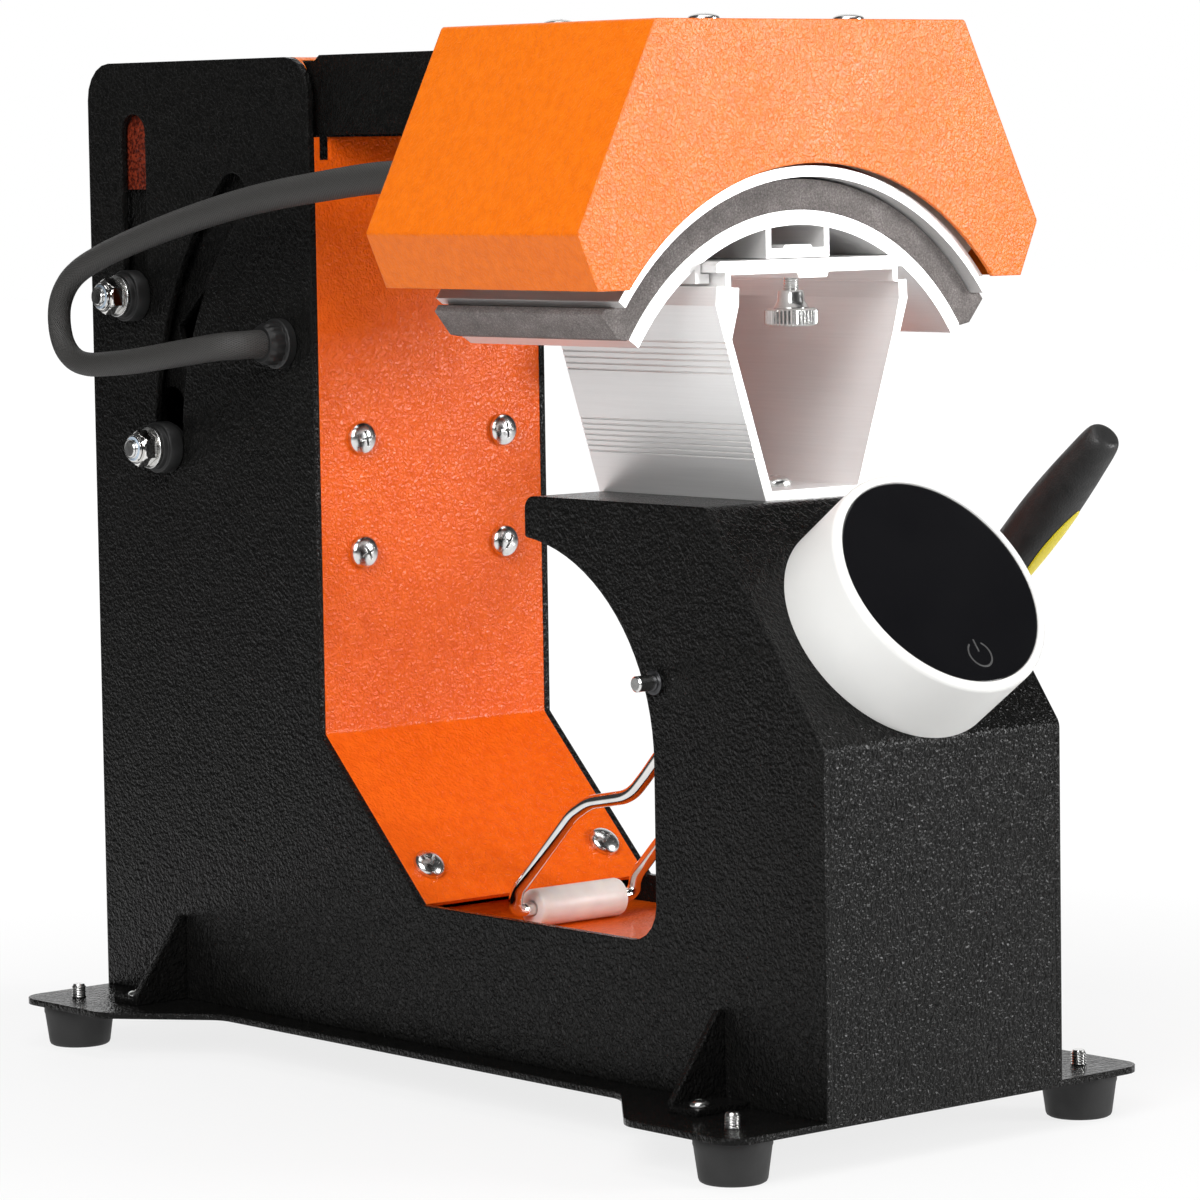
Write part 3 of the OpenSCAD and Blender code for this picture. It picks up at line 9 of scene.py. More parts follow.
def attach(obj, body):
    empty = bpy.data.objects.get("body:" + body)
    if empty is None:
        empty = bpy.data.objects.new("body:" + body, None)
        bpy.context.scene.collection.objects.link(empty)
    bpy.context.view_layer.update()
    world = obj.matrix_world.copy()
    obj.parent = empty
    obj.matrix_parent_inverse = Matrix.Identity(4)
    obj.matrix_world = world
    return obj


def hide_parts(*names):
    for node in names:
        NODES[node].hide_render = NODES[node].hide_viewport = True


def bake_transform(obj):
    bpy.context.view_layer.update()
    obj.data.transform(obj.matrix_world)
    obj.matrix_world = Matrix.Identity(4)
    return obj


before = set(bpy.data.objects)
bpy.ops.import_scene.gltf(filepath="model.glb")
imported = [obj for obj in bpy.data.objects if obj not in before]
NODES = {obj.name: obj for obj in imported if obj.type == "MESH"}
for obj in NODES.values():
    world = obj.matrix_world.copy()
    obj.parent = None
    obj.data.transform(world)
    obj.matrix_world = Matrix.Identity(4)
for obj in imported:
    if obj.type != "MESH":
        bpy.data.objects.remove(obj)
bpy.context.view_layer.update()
rng = random.Random(7)
MM = 0.001


def mm(*p):
    """A point given in millimetres, as a vector in metres."""
    return Vector(p) * MM


# ---------------------------------------------------------------- camera, in metres
CAM_PLACE = Vector((-1.3014, -1.5436, 0.3522))
CAM_FORWARD = Vector((0.6492, 0.7556, -0.0870))
CAM_UP = Vector((0.0683, 0.0560, 0.9961))
CAM_LENS, CAM_SHIFT_X, CAM_SHIFT_Y = 154.16, 0.0031, -0.0057

cam = bpy.data.objects.new("camera", bpy.data.cameras.new("camera"))
bpy.context.scene.collection.objects.link(cam)
forward = CAM_FORWARD.normalized()
right = forward.cross(CAM_UP).normalized()
upright = right.cross(forward)
cam.matrix_world = Matrix.Translation(CAM_PLACE) @ Matrix((right, upright, -forward)).transposed().to_4x4()
cam.data.sensor_width = 36
cam.data.lens = CAM_LENS
cam.data.shift_x, cam.data.shift_y = CAM_SHIFT_X, CAM_SHIFT_Y
cam.data.clip_start, cam.data.clip_end = 0.05, 60
bpy.context.scene.camera = cam
bpy.context.scene.view_settings.view_transform = "Standard"

# ---------------------------------------------------------------- key places, in millimetres
# A pair is the y and z of a line along x
LIFT = (189.6, 293.0)
GUIDE = (169.0, 231.2)
LEVER = (199.0, 224.5)
CRANK_PIN = (148.184, 191.5)
PIVOT = (-132.5, 154.9)
ROLLER = (-13.0, 54.5)
BOW_X = 31
GLAND = (91.0, 275.1)
GROMMET = (-86, -35.6, 341)
COLUMN_Y = 71.5
PANEL_SCREW_X, PANEL_SCREW_Z = 36.5, (191.2, 236.8)
SLANT_SCREW = (45.5, 22.2, 70.2)
GUSSET_SCREW = (79, 173.5, 5.0)
POST_SCREW_Y, POST_SCREW_Z, POST_NUT_Z = (-132.5, -83), 224.0, 218.4
HOOD_TOP_Z, HOOD_SCREW_X, HOOD_SCREW_Y = 397.0, 36.5, (-136.6, -54.6)
FOOT_X, FOOT_Y, FOOT_H, FOOT_SCREW_Z = 88.5, 202.0, 17.0, -11.0
AXLE_END, NUT_X = 80.1, 70.6
PLATEN_Z = 226.9
PAD_Y0, PAD_Y1, PAD_R0, PAD_R1 = -146.5, -51.0, 100.05, 111.5
THUMB_Y, WHEEL_Z, WHEEL_H, THREAD_Z = -142.5, 284.0, 6.6, 297.3
DRUM = mm(0, -193.97, 173.73)
DRUM_N = Vector((0, -0.8091, 0.5876)).normalized()
DRUM_UP = Vector((0, 0.5876, 0.8091))
GLASS_H = 32.5
X_AXIS, Z_AXIS = (1, 0, 0), (0, 0, 1)

CABLE = [
    (-68, 91, 275.1), (-73, 91, 275.2), (-79, 93, 275), (-84, 99, 274.5), (-87.5, 110, 273),
    (-90, 128, 270.5), (-91, 148, 268), (-91.5, 166, 266.5), (-91.5, 180, 266),
    (-91.5, 190, 268), (-91.5, 197, 273.5), (-91.5, 200, 282), (-91.5, 199, 291),
    (-91.5, 193, 299), (-91.5, 183, 305), (-91, 168, 310.5), (-91, 150, 315.5),
    (-90.5, 130, 320.5), (-90, 110, 325), (-89, 85, 330), (-88, 60, 334), (-87, 35, 337),
    (-86.3, 5, 340), (-86, -12, 341), (-86, -27, 341), (-86, -33.6, 341)]
CABLE_SPLIT = 11


# ---------------------------------------------------------------- mesh helpers
def smooth_by_angle(me, angle=38):
    me.shade_smooth()
    me.set_sharp_from_angle(angle=math.radians(angle))


def piece(name, verts, faces, mat=None, angle=38, uvs=None):
    """A new object from points in metres and faces."""
    me = bpy.data.meshes.new(name)
    me.from_pydata([tuple(v) for v in verts], [], faces)
    if uvs is not None:
        layer = me.uv_layers.new(name="uv")
        for poly in me.polygons:
            for li, co in zip(poly.loop_indices, uvs[poly.index]):
                layer.data[li].uv = co
    me.validate()
    smooth_by_angle(me, angle)
    o = bpy.data.objects.new(name, me)
    bpy.context.scene.collection.objects.link(o)
    if mat:
        me.materials.append(mat)
    return o


def outward(o):
    """Faces all look out."""
    bm = bmesh.new()
    bm.from_mesh(o.data)
    bmesh.ops.recalc_face_normals(bm, faces=bm.faces)
    bm.to_mesh(o.data)
    bm.free()
    return o


def basis(axis):
    z = Vector(axis).normalized()
    x = Vector((1, 0, 0)) if abs(z.x) < 0.8 else Vector((0, 1, 0))
    x = (x - z * x.dot(z)).normalized()
    return x, z.cross(x), z


def lathe(name, profile, origin, axis, mat=None, segs=64, angle=38, closed=False):
    """Turns a profile of (radius, height) in mm about an axis. closed joins its last point to the first."""
    x, y, z = basis(axis)
    origin = Vector(origin)
    verts, rings, faces = [], [], []
    for r, h in profile:
        if r < 1e-6:
            verts.append(origin + z * h * MM)
            rings.append([len(verts) - 1] * segs)
        else:
            ring = []
            for k in range(segs):
                a = 2 * math.pi * k / segs
                verts.append(origin + (x * math.cos(a) + y * math.sin(a)) * r * MM + z * h * MM)
                ring.append(len(verts) - 1)
            rings.append(ring)
    pairs = list(zip(rings, rings[1:])) + ([(rings[-1], rings[0])] if closed else [])
    for a, b in pairs:
        for k in range(segs):
            f = [a[k], a[(k + 1) % segs], b[(k + 1) % segs], b[k]]
            f = list(dict.fromkeys(f))
            if len(f) > 2:
                faces.append(f)
    return outward(piece(name, verts, faces, mat, angle))


def catmull(points, per=6):
    """A smooth curve through points."""
    p = [Vector(q) for q in points]
    out = []
    for i in range(len(p) - 1):
        a, b, c, d = p[max(i - 1, 0)], p[i], p[i + 1], p[min(i + 2, len(p) - 1)]
        for k in range(per):
            t = k / per
            out.append(0.5 * ((2 * b) + (c - a) * t + (2 * a - 5 * b + 4 * c - d) * t * t
                              + (3 * b - a - 3 * c + d) * t ** 3))
    out.append(p[-1])
    return out


def rounded_line(points, radius, per=8):
    """A polyline in mm whose corners are arcs."""
    p = [Vector(q) for q in points]
    out = [p[0]]
    for i in range(1, len(p) - 1):
        u, v = (p[i - 1] - p[i]).normalized(), (p[i + 1] - p[i]).normalized()
        half = u.angle(v) / 2
        if half > math.radians(89):
            out.append(p[i])
            continue
        r = radius if not isinstance(radius, (list, tuple)) else radius[i - 1]
        back = min(r / math.tan(half), 0.48 * (p[i - 1] - p[i]).length, 0.48 * (p[i + 1] - p[i]).length)
        r = back * math.tan(half)
        c = p[i] + (u + v).normalized() * (r / math.sin(half))
        s, e = p[i] + u * back - c, p[i] + v * back - c
        turn = Matrix.Rotation(s.angle(e) / per, 3, s.cross(e))
        for k in range(per + 1):
            out.append(c + s)
            s = turn @ s
    out.append(p[-1])
    return out


def sweep(name, path, radius, mat=None, sides=24):
    """A closed tube along a path in metres. radius in mm is one number or one per point."""
    n = len(path)
    path = [Vector(q) for q in path]
    tang = [(path[min(i + 1, n - 1)] - path[max(i - 1, 0)]).normalized() for i in range(n)]
    x, y, _ = basis(tang[0])
    verts, faces, uvs, along = [], [], [], []
    run = 0.0
    for i in range(n):
        if i:
            axis = tang[i - 1].cross(tang[i])
            if axis.length > 1e-9:
                x = Matrix.Rotation(tang[i - 1].angle(tang[i]), 3, axis) @ x
            x = (x - tang[i] * x.dot(tang[i])).normalized()
            y = tang[i].cross(x)
            run += (path[i] - path[i - 1]).length
        along.append(run)
        r = radius[i] if isinstance(radius, (list, tuple)) else radius
        for k in range(sides):
            a = 2 * math.pi * k / sides
            verts.append(path[i] + (x * math.cos(a) + y * math.sin(a)) * r * MM)
    for i in range(n - 1):
        for k in range(sides):
            k2 = (k + 1) % sides
            faces.append([i * sides + k, i * sides + k2, (i + 1) * sides + k2, (i + 1) * sides + k])
            u0, u1 = k / sides, (k + 1) / sides
            uvs.append([(u0, along[i]), (u1, along[i]), (u1, along[i + 1]), (u0, along[i + 1])])
    for ring, flip in ((0, True), (n - 1, False)):
        f = [ring * sides + k for k in range(sides)]
        faces.append(f[::-1] if flip else f)
        uvs.append([(0.5, along[ring])] * sides)
    return piece(name, verts, faces, mat, uvs=uvs)


def polar_grid(name, radius_at, heights, origin, axis, mat=None, segs=72, angle=30):
    """A closed body whose radius in mm is radius_at(angle, height) on each of its heights in mm."""
    x, y, z = basis(axis)
    origin = Vector(origin)
    verts, faces = [], []
    for h in heights:
        for k in range(segs):
            a = 2 * math.pi * k / segs
            r = radius_at(a, h)
            verts.append(origin + (x * math.cos(a) + y * math.sin(a)) * r * MM + z * h * MM)
    for i in range(len(heights) - 1):
        for k in range(segs):
            k2 = (k + 1) % segs
            faces.append([i * segs + k, i * segs + k2, (i + 1) * segs + k2, (i + 1) * segs + k])
    faces.append(list(range(segs))[::-1])
    faces.append([(len(heights) - 1) * segs + k for k in range(segs)])
    return outward(piece(name, verts, faces, mat, angle))


def arc(r, degrees, x=0, y=0):
    """Points of a circle about (x, y), one for each angle in degrees."""
    return [(x + r * math.cos(math.radians(a)), y + r * math.sin(math.radians(a))) for a in degrees]


def rings_between(rings, n, first=0):
    """Faces between rings of n points each, numbered from first."""
    faces = []
    for i in range(rings - 1):
        for k in range(n):
            a, b = first + i * n + k, first + i * n + (k + 1) % n
            faces.append([a, a + n, b + n, b])
    return faces


def prism(name, outline, place, depth, mat=None, bevel=0.5, angle=38, segments=3):
    """An outline of 2D points in mm, pulled by depth mm. place is (origin in mm, x axis, y axis)."""
    o, ux, uy = Vector(place[0]), Vector(place[1]), Vector(place[2])
    uz = ux.cross(uy)
    n = len(outline)
    verts = [(o + ux * p[0] + uy * p[1]) * MM for p in outline]
    verts += [(o + ux * p[0] + uy * p[1] + uz * depth) * MM for p in outline]
    faces = [list(range(n))[::-1], list(range(n, 2 * n))]
    faces += [[i, (i + 1) % n, n + (i + 1) % n, n + i] for i in range(n)]
    ob = outward(piece(name, verts, faces, mat, angle))
    if bevel:
        bm = bmesh.new()
        bm.from_mesh(ob.data)
        rim = [e for e in bm.edges if len(e.link_faces) == 2 and e.calc_face_angle(0) > math.radians(40)]
        bmesh.ops.bevel(bm, geom=rim, offset=bevel * MM, segments=segments, profile=0.5, affect="EDGES",
                        clamp_overlap=True)
        bm.to_mesh(ob.data)
        bm.free()
        smooth_by_angle(ob.data, angle)
    return ob


def join(name, *objs):
    """Several objects as one, in the first one's place."""
    bm = bmesh.new()
    mats = []
    for o in objs:
        part = o.data.copy()
        part.transform(o.matrix_world)
        remap = []
        for m in part.materials:
            if m not in mats:
                mats.append(m)
            remap.append(mats.index(m))
        for p in part.polygons:
            p.material_index = remap[p.material_index] if remap else 0
        bm.from_mesh(part)
        bpy.data.meshes.remove(part)
    me = bpy.data.meshes.new(name)
    bm.to_mesh(me)
    bm.free()
    for m in mats:
        me.materials.append(m)
    for o in objs:
        bpy.data.objects.remove(o)
    new = bpy.data.objects.new(name, me)
    bpy.context.scene.collection.objects.link(new)
    return new


def boolean(target, cutter, op="DIFFERENCE"):
    """target's mesh with the cutter taken out of it, or joined to it. The cutter is removed."""
    mod = target.modifiers.new("cut", "BOOLEAN")
    mod.operation = op
    mod.object = cutter
    mod.solver = "EXACT"
    bpy.context.view_layer.update()
    dg = bpy.context.evaluated_depsgraph_get()
    me = bpy.data.meshes.new_from_object(target.evaluated_get(dg))
    target.modifiers.clear()
    target.data = me
    bpy.data.objects.remove(cutter)
    smooth_by_angle(me, 30)
    return target


def copy_at(name, source, place, normal, spin=0.0):
    """Another of the same thing, its +Z along normal at a place in metres."""
    o = bpy.data.objects.new(name, source.data)
    x, y, z = basis(normal)
    m = Matrix((x, y, z)).transposed().to_4x4()
    o.matrix_world = Matrix.Translation(place) @ m @ Matrix.Rotation(spin, 4, "Z")
    bpy.context.scene.collection.objects.link(o)
    return o


# ---------------------------------------------------------------- material helpers
class Graph:
    """A node tree with short ways to add to it."""

    def __init__(self, tree):
        self.nt = tree
        tree.nodes.clear()

    def link(self, a, b):
        self.nt.links.new(a, b)

    def node(self, kind, **settings):
        n = self.nt.nodes.new(kind)
        for k, v in settings.items():
            setattr(n, k, v)
        return n

    def remap(self, value, a0, a1, b0, b1):
        n = self.node("ShaderNodeMapRange")
        for i, v in ((1, a0), (2, a1), (3, b0), (4, b1)):
            n.inputs[i].default_value = v
        self.link(value, n.inputs[0])
        return n.outputs[0]

    def math(self, op, a, b=0.0):
        n = self.node("ShaderNodeMath", operation=op)
        for i, v in ((0, a), (1, b)):
            if isinstance(v, (int, float)):
                n.inputs[i].default_value = v
            else:
                self.link(v, n.inputs[i])
        return n.outputs[0]

    def weighted(self, a, share_a, b, share_b):
        """a times its share, plus b times its share."""
        return self.math("ADD", self.math("MULTIPLY", a, share_a), self.math("MULTIPLY", b, share_b))

    def mix(self, kind, share, first, second):
        n = self.node(kind)
        for i, v in enumerate((share, first, second)):
            self.link(v, n.inputs[i])
        return n.outputs[0]

    def white(self, kind, strength):
        """A white emission or background."""
        n = self.node(kind)
        n.inputs[0].default_value = (1, 1, 1, 1)
        n.inputs[1].default_value = strength
        return n.outputs[0]


class Mat(Graph):
    """A material around one Principled shader, its textures in the object's own coordinates."""

    def __init__(self, name, color, rough, metal=0.0, spec=0.5):
        self.m = bpy.data.materials.new(name)
        self.m.use_nodes = True
        super().__init__(self.m.node_tree)
        self.out = self.node("ShaderNodeOutputMaterial").inputs[0]
        self.b = self.node("ShaderNodeBsdfPrincipled")
        self.link(self.b.outputs[0], self.out)
        self.b.inputs["Base Color"].default_value = (*color, 1)
        self.b.inputs["Roughness"].default_value = rough
        self.b.inputs["Metallic"].default_value = metal
        self.b.inputs["Specular IOR Level"].default_value = spec
        self.coord = self.node("ShaderNodeTexCoord").outputs["Object"]
        self.normal = None

    def stretch(self, *scale):
        n = self.node("ShaderNodeMapping")
        n.inputs["Scale"].default_value = scale
        self.link(self.coord, n.inputs["Vector"])
        return n.outputs[0]

    def noise(self, scale, detail=2.0, rough=0.5, source=None, distortion=0.0):
        n = self.node("ShaderNodeTexNoise")
        n.inputs["Scale"].default_value = scale
        n.inputs["Detail"].default_value = detail
        n.inputs["Roughness"].default_value = rough
        n.inputs["Distortion"].default_value = distortion
        self.link(source or self.coord, n.inputs["Vector"])
        return n.outputs["Fac"]

    def voronoi(self, scale, smooth=None):
        """Distance to the nearest cell's middle, rounded off where smooth is given."""
        n = self.node("ShaderNodeTexVoronoi", feature="F1" if smooth is None else "SMOOTH_F1")
        n.inputs["Scale"].default_value = scale
        if smooth is not None:
            n.inputs["Smoothness"].default_value = smooth
        self.link(self.coord, n.inputs["Vector"])
        return n.outputs["Distance"]

    def ramp(self, value, *stops):
        n = self.node("ShaderNodeValToRGB")
        e = n.color_ramp.elements
        while len(e) < len(stops):
            e.new(0.5)
        for el, (p, c) in zip(e, stops):
            el.position = p
            el.color = (*c, 1)
        self.link(value, n.inputs[0])
        return n.outputs[0]

    def bevel(self, radius):
        """Edges shaded round, with a radius in mm."""
        n = self.node("ShaderNodeBevel")
        n.samples = 4
        n.inputs["Radius"].default_value = radius * MM
        self.normal = n.outputs[0]
        return self

    def bump(self, height, distance):
        """Relief of a depth in mm, over any before it."""
        n = self.node("ShaderNodeBump")
        n.inputs["Distance"].default_value = distance * MM
        n.inputs["Strength"].default_value = 1.0
        self.link(height, n.inputs["Height"])
        if self.normal is not None:
            self.link(self.normal, n.inputs["Normal"])
        self.normal = n.outputs[0]
        return self

    def color(self, out):
        self.link(out, self.b.inputs["Base Color"])
        return self

    def rough(self, value, low, high):
        """Roughness from low to high, where a noise goes from 0.3 to 0.7."""
        self.link(self.remap(value, 0.3, 0.7, low, high), self.b.inputs["Roughness"])
        return self

    def done(self):
        if self.normal is not None:
            self.link(self.normal, self.b.inputs["Normal"])
        return self.m


def powder_coat(name, dark, light, rough, grain=1.0, spec=0.5, rim=0.8, fine=1.0):
    """Textured powder coat: short, worm-like grains about a millimetre and a half apart."""
    m = Mat(name, light, rough, spec=spec)
    m.bevel(rim)
    worms = m.noise(620 * fine, 1.0, 0.4, distortion=0.8)
    cells = m.voronoi(680 * fine, 0.7)
    m.bump(m.weighted(cells, 0.5, m.remap(worms, 0.35, 0.65, 0, 1), 0.42), 0.36 * grain / fine)
    m.bump(m.noise(1900, 2), 0.03 * grain)
    m.color(m.ramp(m.noise(260, 2), (0.3, dark), (0.7, light)))
    m.rough(m.noise(35, 3), rough - 0.03, rough + 0.04)
    return m.done()


def metal(name, color, rough, scratch=(1, 1, 1), scale=300, bump=0.02, rim=0.3, spread=0.08, shade=0.86,
          metallic=1.0):
    """A metal with fine marks, stretched by scratch."""
    m = Mat(name, color, rough, metallic)
    m.bevel(rim)
    marks = m.noise(scale, 4, 0.6, m.stretch(*scratch))
    m.bump(marks, bump)
    m.rough(m.weighted(marks, 0.6, m.noise(18, 3), 0.4), rough - spread, rough + spread)
    dark = tuple(c * shade for c in color)
    m.color(m.ramp(marks, (0.3, dark), (0.65, color)))
    return m.done()


def plastic(name, color, rough, grain=0.03, scale=900, vary=0.9):
    """A moulded plastic or rubber with a fine grain and a slight change of shade."""
    m = Mat(name, color, rough)
    m.bevel(0.4)
    m.bump(m.noise(scale, 3, 0.6), grain)
    m.color(m.ramp(m.noise(60, 4), (0.3, tuple(c * vary for c in color)), (0.7, color)))
    m.rough(m.noise(140, 3), rough - 0.05, rough + 0.06)
    return m.done()


BLACK = powder_coat("black_coat", (0.0050, 0.0050, 0.0048), (0.0078, 0.0076, 0.0072), 0.17,
                    grain=1.6, spec=0.12, rim=1.3)
ORANGE = powder_coat("orange_coat", (0.80, 0.102, 0.004), (0.88, 0.128, 0.006), 0.21, spec=0.18)
ORANGE_HOOD = powder_coat("orange_coat_hood", (0.82, 0.160, 0.005), (0.90, 0.192, 0.007), 0.30,
                          grain=0.8, spec=0.27, fine=1.2)


def make_cover():
    """The head cover's orange coat with painted shade: its sides along x, which lie in the slots' shade, are
    coloured deep red-brown.
    """
    m = Mat("head_cover_coat_painted_shade", (0.82, 0.160, 0.005), 0.26, spec=0.5)
    sep = m.node("ShaderNodeSeparateXYZ")
    m.link(m.coord.node.outputs["Normal"], sep.inputs[0])
    # The sides that face along x get the painted shade
    painted_shade_flank = m.remap(m.math("ABSOLUTE", sep.outputs[0]), 0.6, 0.9, 0, 1)
    grain = m.noise(700, 2)
    m.bevel(0.8)
    m.bump(m.voronoi(620, 0.7), 0.35)
    top = m.ramp(grain, (0.3, (0.80, 0.150, 0.005)), (0.7, (0.88, 0.185, 0.007)))
    # Painted shade: this dark red-brown stands in for the shadow inside the slots, while top keeps the lit
    # orange
    side = m.ramp(grain, (0.4, (0.060, 0.007, 0.003)), (0.62, (0.22, 0.030, 0.012)))
    m.color(m.mix("ShaderNodeMixRGB", painted_shade_flank, top, side))
    m.rough(m.noise(35, 3), 0.24, 0.30)
    return m.done()


def make_glass():
    m = Mat("black_glass", (0.004, 0.004, 0.005), 0.09, spec=0.5)
    m.bump(m.noise(25, 1), 0.01)
    m.rough(m.noise(45, 4), 0.07, 0.11)
    m.color(m.ramp(m.noise(30, 2), (0.3, (0.004, 0.004, 0.005)), (0.7, (0.006, 0.006, 0.007))))
    return m.done()


def make_ptfe():
    m = Mat("milky_plastic", (0.80, 0.74, 0.70), 0.42)
    m.b.inputs["Subsurface Weight"].default_value = 0.5
    m.b.inputs["Subsurface Radius"].default_value = (0.012, 0.008, 0.006)
    m.b.inputs["Subsurface Scale"].default_value = 0.5
    m.bevel(0.5)
    m.bump(m.noise(700, 2), 0.02)
    m.color(m.ramp(m.noise(90, 3), (0.3, (0.72, 0.65, 0.62)), (0.7, (0.82, 0.77, 0.73))))
    return m.done()


def make_foam():
    m = Mat("silicone_foam", (0.16, 0.15, 0.145), 0.85)
    fine = m.noise(1500, 3, 0.7)
    m.bump(m.weighted(fine, 0.7, m.voronoi(900), 0.6), 0.35)
    m.bump(m.noise(220, 3), 0.25)
    m.color(m.ramp(m.weighted(fine, 0.75, m.noise(160, 3), 0.25), (0.30, (0.085, 0.077, 0.074)),
                   (0.5, (0.185, 0.165, 0.158)), (0.72, (0.37, 0.34, 0.33))))
    m.rough(fine, 0.75, 0.95)
    return m.done()


def make_braid():
    """Woven sleeve: two sets of slanted strands from the tube's own coordinates."""
    strands, pitch = 18, 0.0030
    m = Mat("braided_sleeve", (0.02, 0.02, 0.02), 0.55)
    sep = m.node("ShaderNodeSeparateXYZ")
    m.link(m.node("ShaderNodeUVMap", uv_map="uv").outputs[0], sep.inputs[0])
    u = m.math("MULTIPLY", sep.outputs[0], 2 * math.pi * strands)
    v = m.math("MULTIPLY", sep.outputs[1], 2 * math.pi / pitch)
    a = m.math("SINE", m.math("ADD", u, v))
    b = m.math("SINE", m.math("SUBTRACT", u, v))
    weave = m.math("MAXIMUM", m.math("ABSOLUTE", a), m.math("ABSOLUTE", b))
    fibre = m.noise(2500, 2)
    m.bump(m.math("ADD", weave, m.math("MULTIPLY", fibre, 0.35)), 0.22)
    m.color(m.ramp(weave, (0.35, (0.004, 0.004, 0.004)), (0.8, (0.022, 0.021, 0.020)),
                   (0.98, (0.06, 0.058, 0.055))))
    m.rough(fibre, 0.45, 0.65)
    return m.done()


def make_grip():
    m = Mat("grip_rubber", (0.014, 0.014, 0.014), 0.5)
    m.bump(m.voronoi(1300), 0.10)
    m.bump(m.noise(400, 2), 0.04)
    m.color(m.ramp(m.noise(120, 4), (0.3, (0.011, 0.011, 0.011)), (0.7, (0.019, 0.019, 0.019))))
    m.rough(m.noise(200, 3), 0.42, 0.58)
    return m.done()


COVER, GLASS, PTFE, FOAM = make_cover(), make_glass(), make_ptfe(), make_foam()
BRAID, GRIP = make_braid(), make_grip()
ZINC = metal("zinc", (0.80, 0.80, 0.79), 0.22, scale=500)
CHROME = metal("chrome", (0.86, 0.85, 0.83), 0.09, scale=120, bump=0.004, spread=0.03)
DARK = metal("dark_steel", (0.10, 0.10, 0.105), 0.42, scale=400)
ALU = metal("extruded_aluminium", (0.94, 0.935, 0.93), 0.44, (1, 0.02, 1), 1400, 0.004, rim=0.25,
            spread=0.03, shade=0.96, metallic=0.62)
RUBBER = plastic("rubber", (0.016, 0.016, 0.016), 0.62, 0.06, 700)
NYLON = plastic("nylon", (0.012, 0.012, 0.012), 0.45, 0.03)
WHITE = plastic("white_plastic", (0.87, 0.87, 0.85), 0.38, 0.015, 1200, 0.985)
RED = plastic("red_plastic", (0.55, 0.03, 0.02), 0.3, 0.01)
GREEN = plastic("circuit_green", (0.02, 0.13, 0.06), 0.35, 0.02, 400, 0.8)
HEATER = plastic("heater_silicone", (0.35, 0.07, 0.03), 0.6, 0.05, 600, 0.8)
WOOL = plastic("ceramic_wool", (0.80, 0.76, 0.68), 0.95, 0.6, 350, 0.85)
NUT_NYLON = plastic("nut_nylon", (0.55, 0.66, 0.78), 0.4, 0.01)
YELLOW = plastic("grip_inlay", (0.85, 0.70, 0.02), 0.4, 0.03, 700)
SYMBOL = plastic("printed_symbol", (0.075, 0.075, 0.075), 0.3, 0.005)

CAD_LOOKS = (
    (BLACK, "base_plate side_plate_left side_plate_right rear_side_right upper_side_right"
            " pedestal_side_right pedestal_cover pedestal_back rear_cover gussets head_arms lever_arm"),
    (ORANGE, "column_panel floor_sheet"),
    (ORANGE_HOOD, "hood"),
    (COVER, "head_cover"),
    (DARK, "column_brace panel_brackets lever_bearing pivot_clips lift_hanger"),
    (ZINC, "foot_screws gusset_screws panel_screws post_screws cover_screws hood_screws thumb_screw"
           " pivot_rod return_spring platen_studs lift_axle lift_washers lift_nuts guide_axle"
           " guide_washers guide_nuts"),
    (CHROME, "hold_down_wire"),
    (ALU, "platen_post lower_platen heated_platen"),
    (NYLON, "hanger_guide cable_gland power_inlet switch_housing lift_bushes guide_bushes cable_grommet"),
    (RUBBER, "rubber_feet"), (RED, "switch_rocker"), (GREEN, "circuit_boards"),
    (WHITE, "drum_ring drum_base"), (GLASS, "drum_glass"), (FOAM, "platen_pad"),
    (PTFE, "hold_down_roller"), (HEATER, "heater_mat"), (WOOL, "insulation"),
    (GRIP, "lever_grip"), (BRAID, "head_cable"),
)
for look, names in CAD_LOOKS:
    for node in names.split():
        me = NODES[node].data
        if not me.materials:
            me.materials.append(look)
        for i in range(len(me.materials)):
            me.materials[i] = look


def stands_for(o, body, slot_name, *nodes):
    """Rides a piece on a body, in place of the CAD nodes named. slot_name is not used."""
    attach(o, body)
    if nodes:
        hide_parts(*nodes)
    return o


# ---------------------------------------------------------------- fasteners
def plus_cutter(size, deep, top):
    """A tapered cross, to cut a driver recess."""
    w, verts = size * 0.17, []
    flat = [(size, -w), (size, w), (w, w), (w, size), (-w, size), (-w, w), (-size, w), (-size, -w),
            (-w, -w), (-w, -size), (w, -size), (w, -w)]
    for z, k in ((top - deep, 0.35), (top + 1, 1.15)):
        verts += [mm(x * k if abs(x) > w else x * 0.8, y * k if abs(y) > w else y * 0.8, z) for x, y in flat]
    faces = [list(range(12))[::-1], list(range(12, 24))]
    faces += [[i, (i + 1) % 12, 12 + (i + 1) % 12, 12 + i] for i in range(12)]
    return outward(piece("cutter", verts, faces))


def pan_head(head_d, head_h, shank_d, shank_l):
    """A domed zinc screw with a cross recess at the origin, its head's underside at z 0."""
    r, core, pitch = head_d / 2, shank_d / 2, 1.0
    dome = [(x, head_h * (0.3 + 0.7 * y / r)) for x, y in arc(r, range(0, 90, 9))]
    ridges, z = [], -shank_l + 0.8
    while z < -0.6:
        ridges += [(core - 0.45, z), (core - 0.02, z + pitch / 2)]
        z += pitch
    profile = [(0, -shank_l), (core - 0.8, -shank_l)] + ridges
    profile += [(core - 0.1, -0.1), (core - 0.1, 0), (r - 0.25, 0), (r, 0.25)] + dome + [(0, head_h)]
    o = lathe("pan_head", profile, (0, 0, 0), Z_AXIS, ZINC, 48, 32)
    return boolean(o, plus_cutter(head_d * 0.27, head_h * 0.72, head_h))


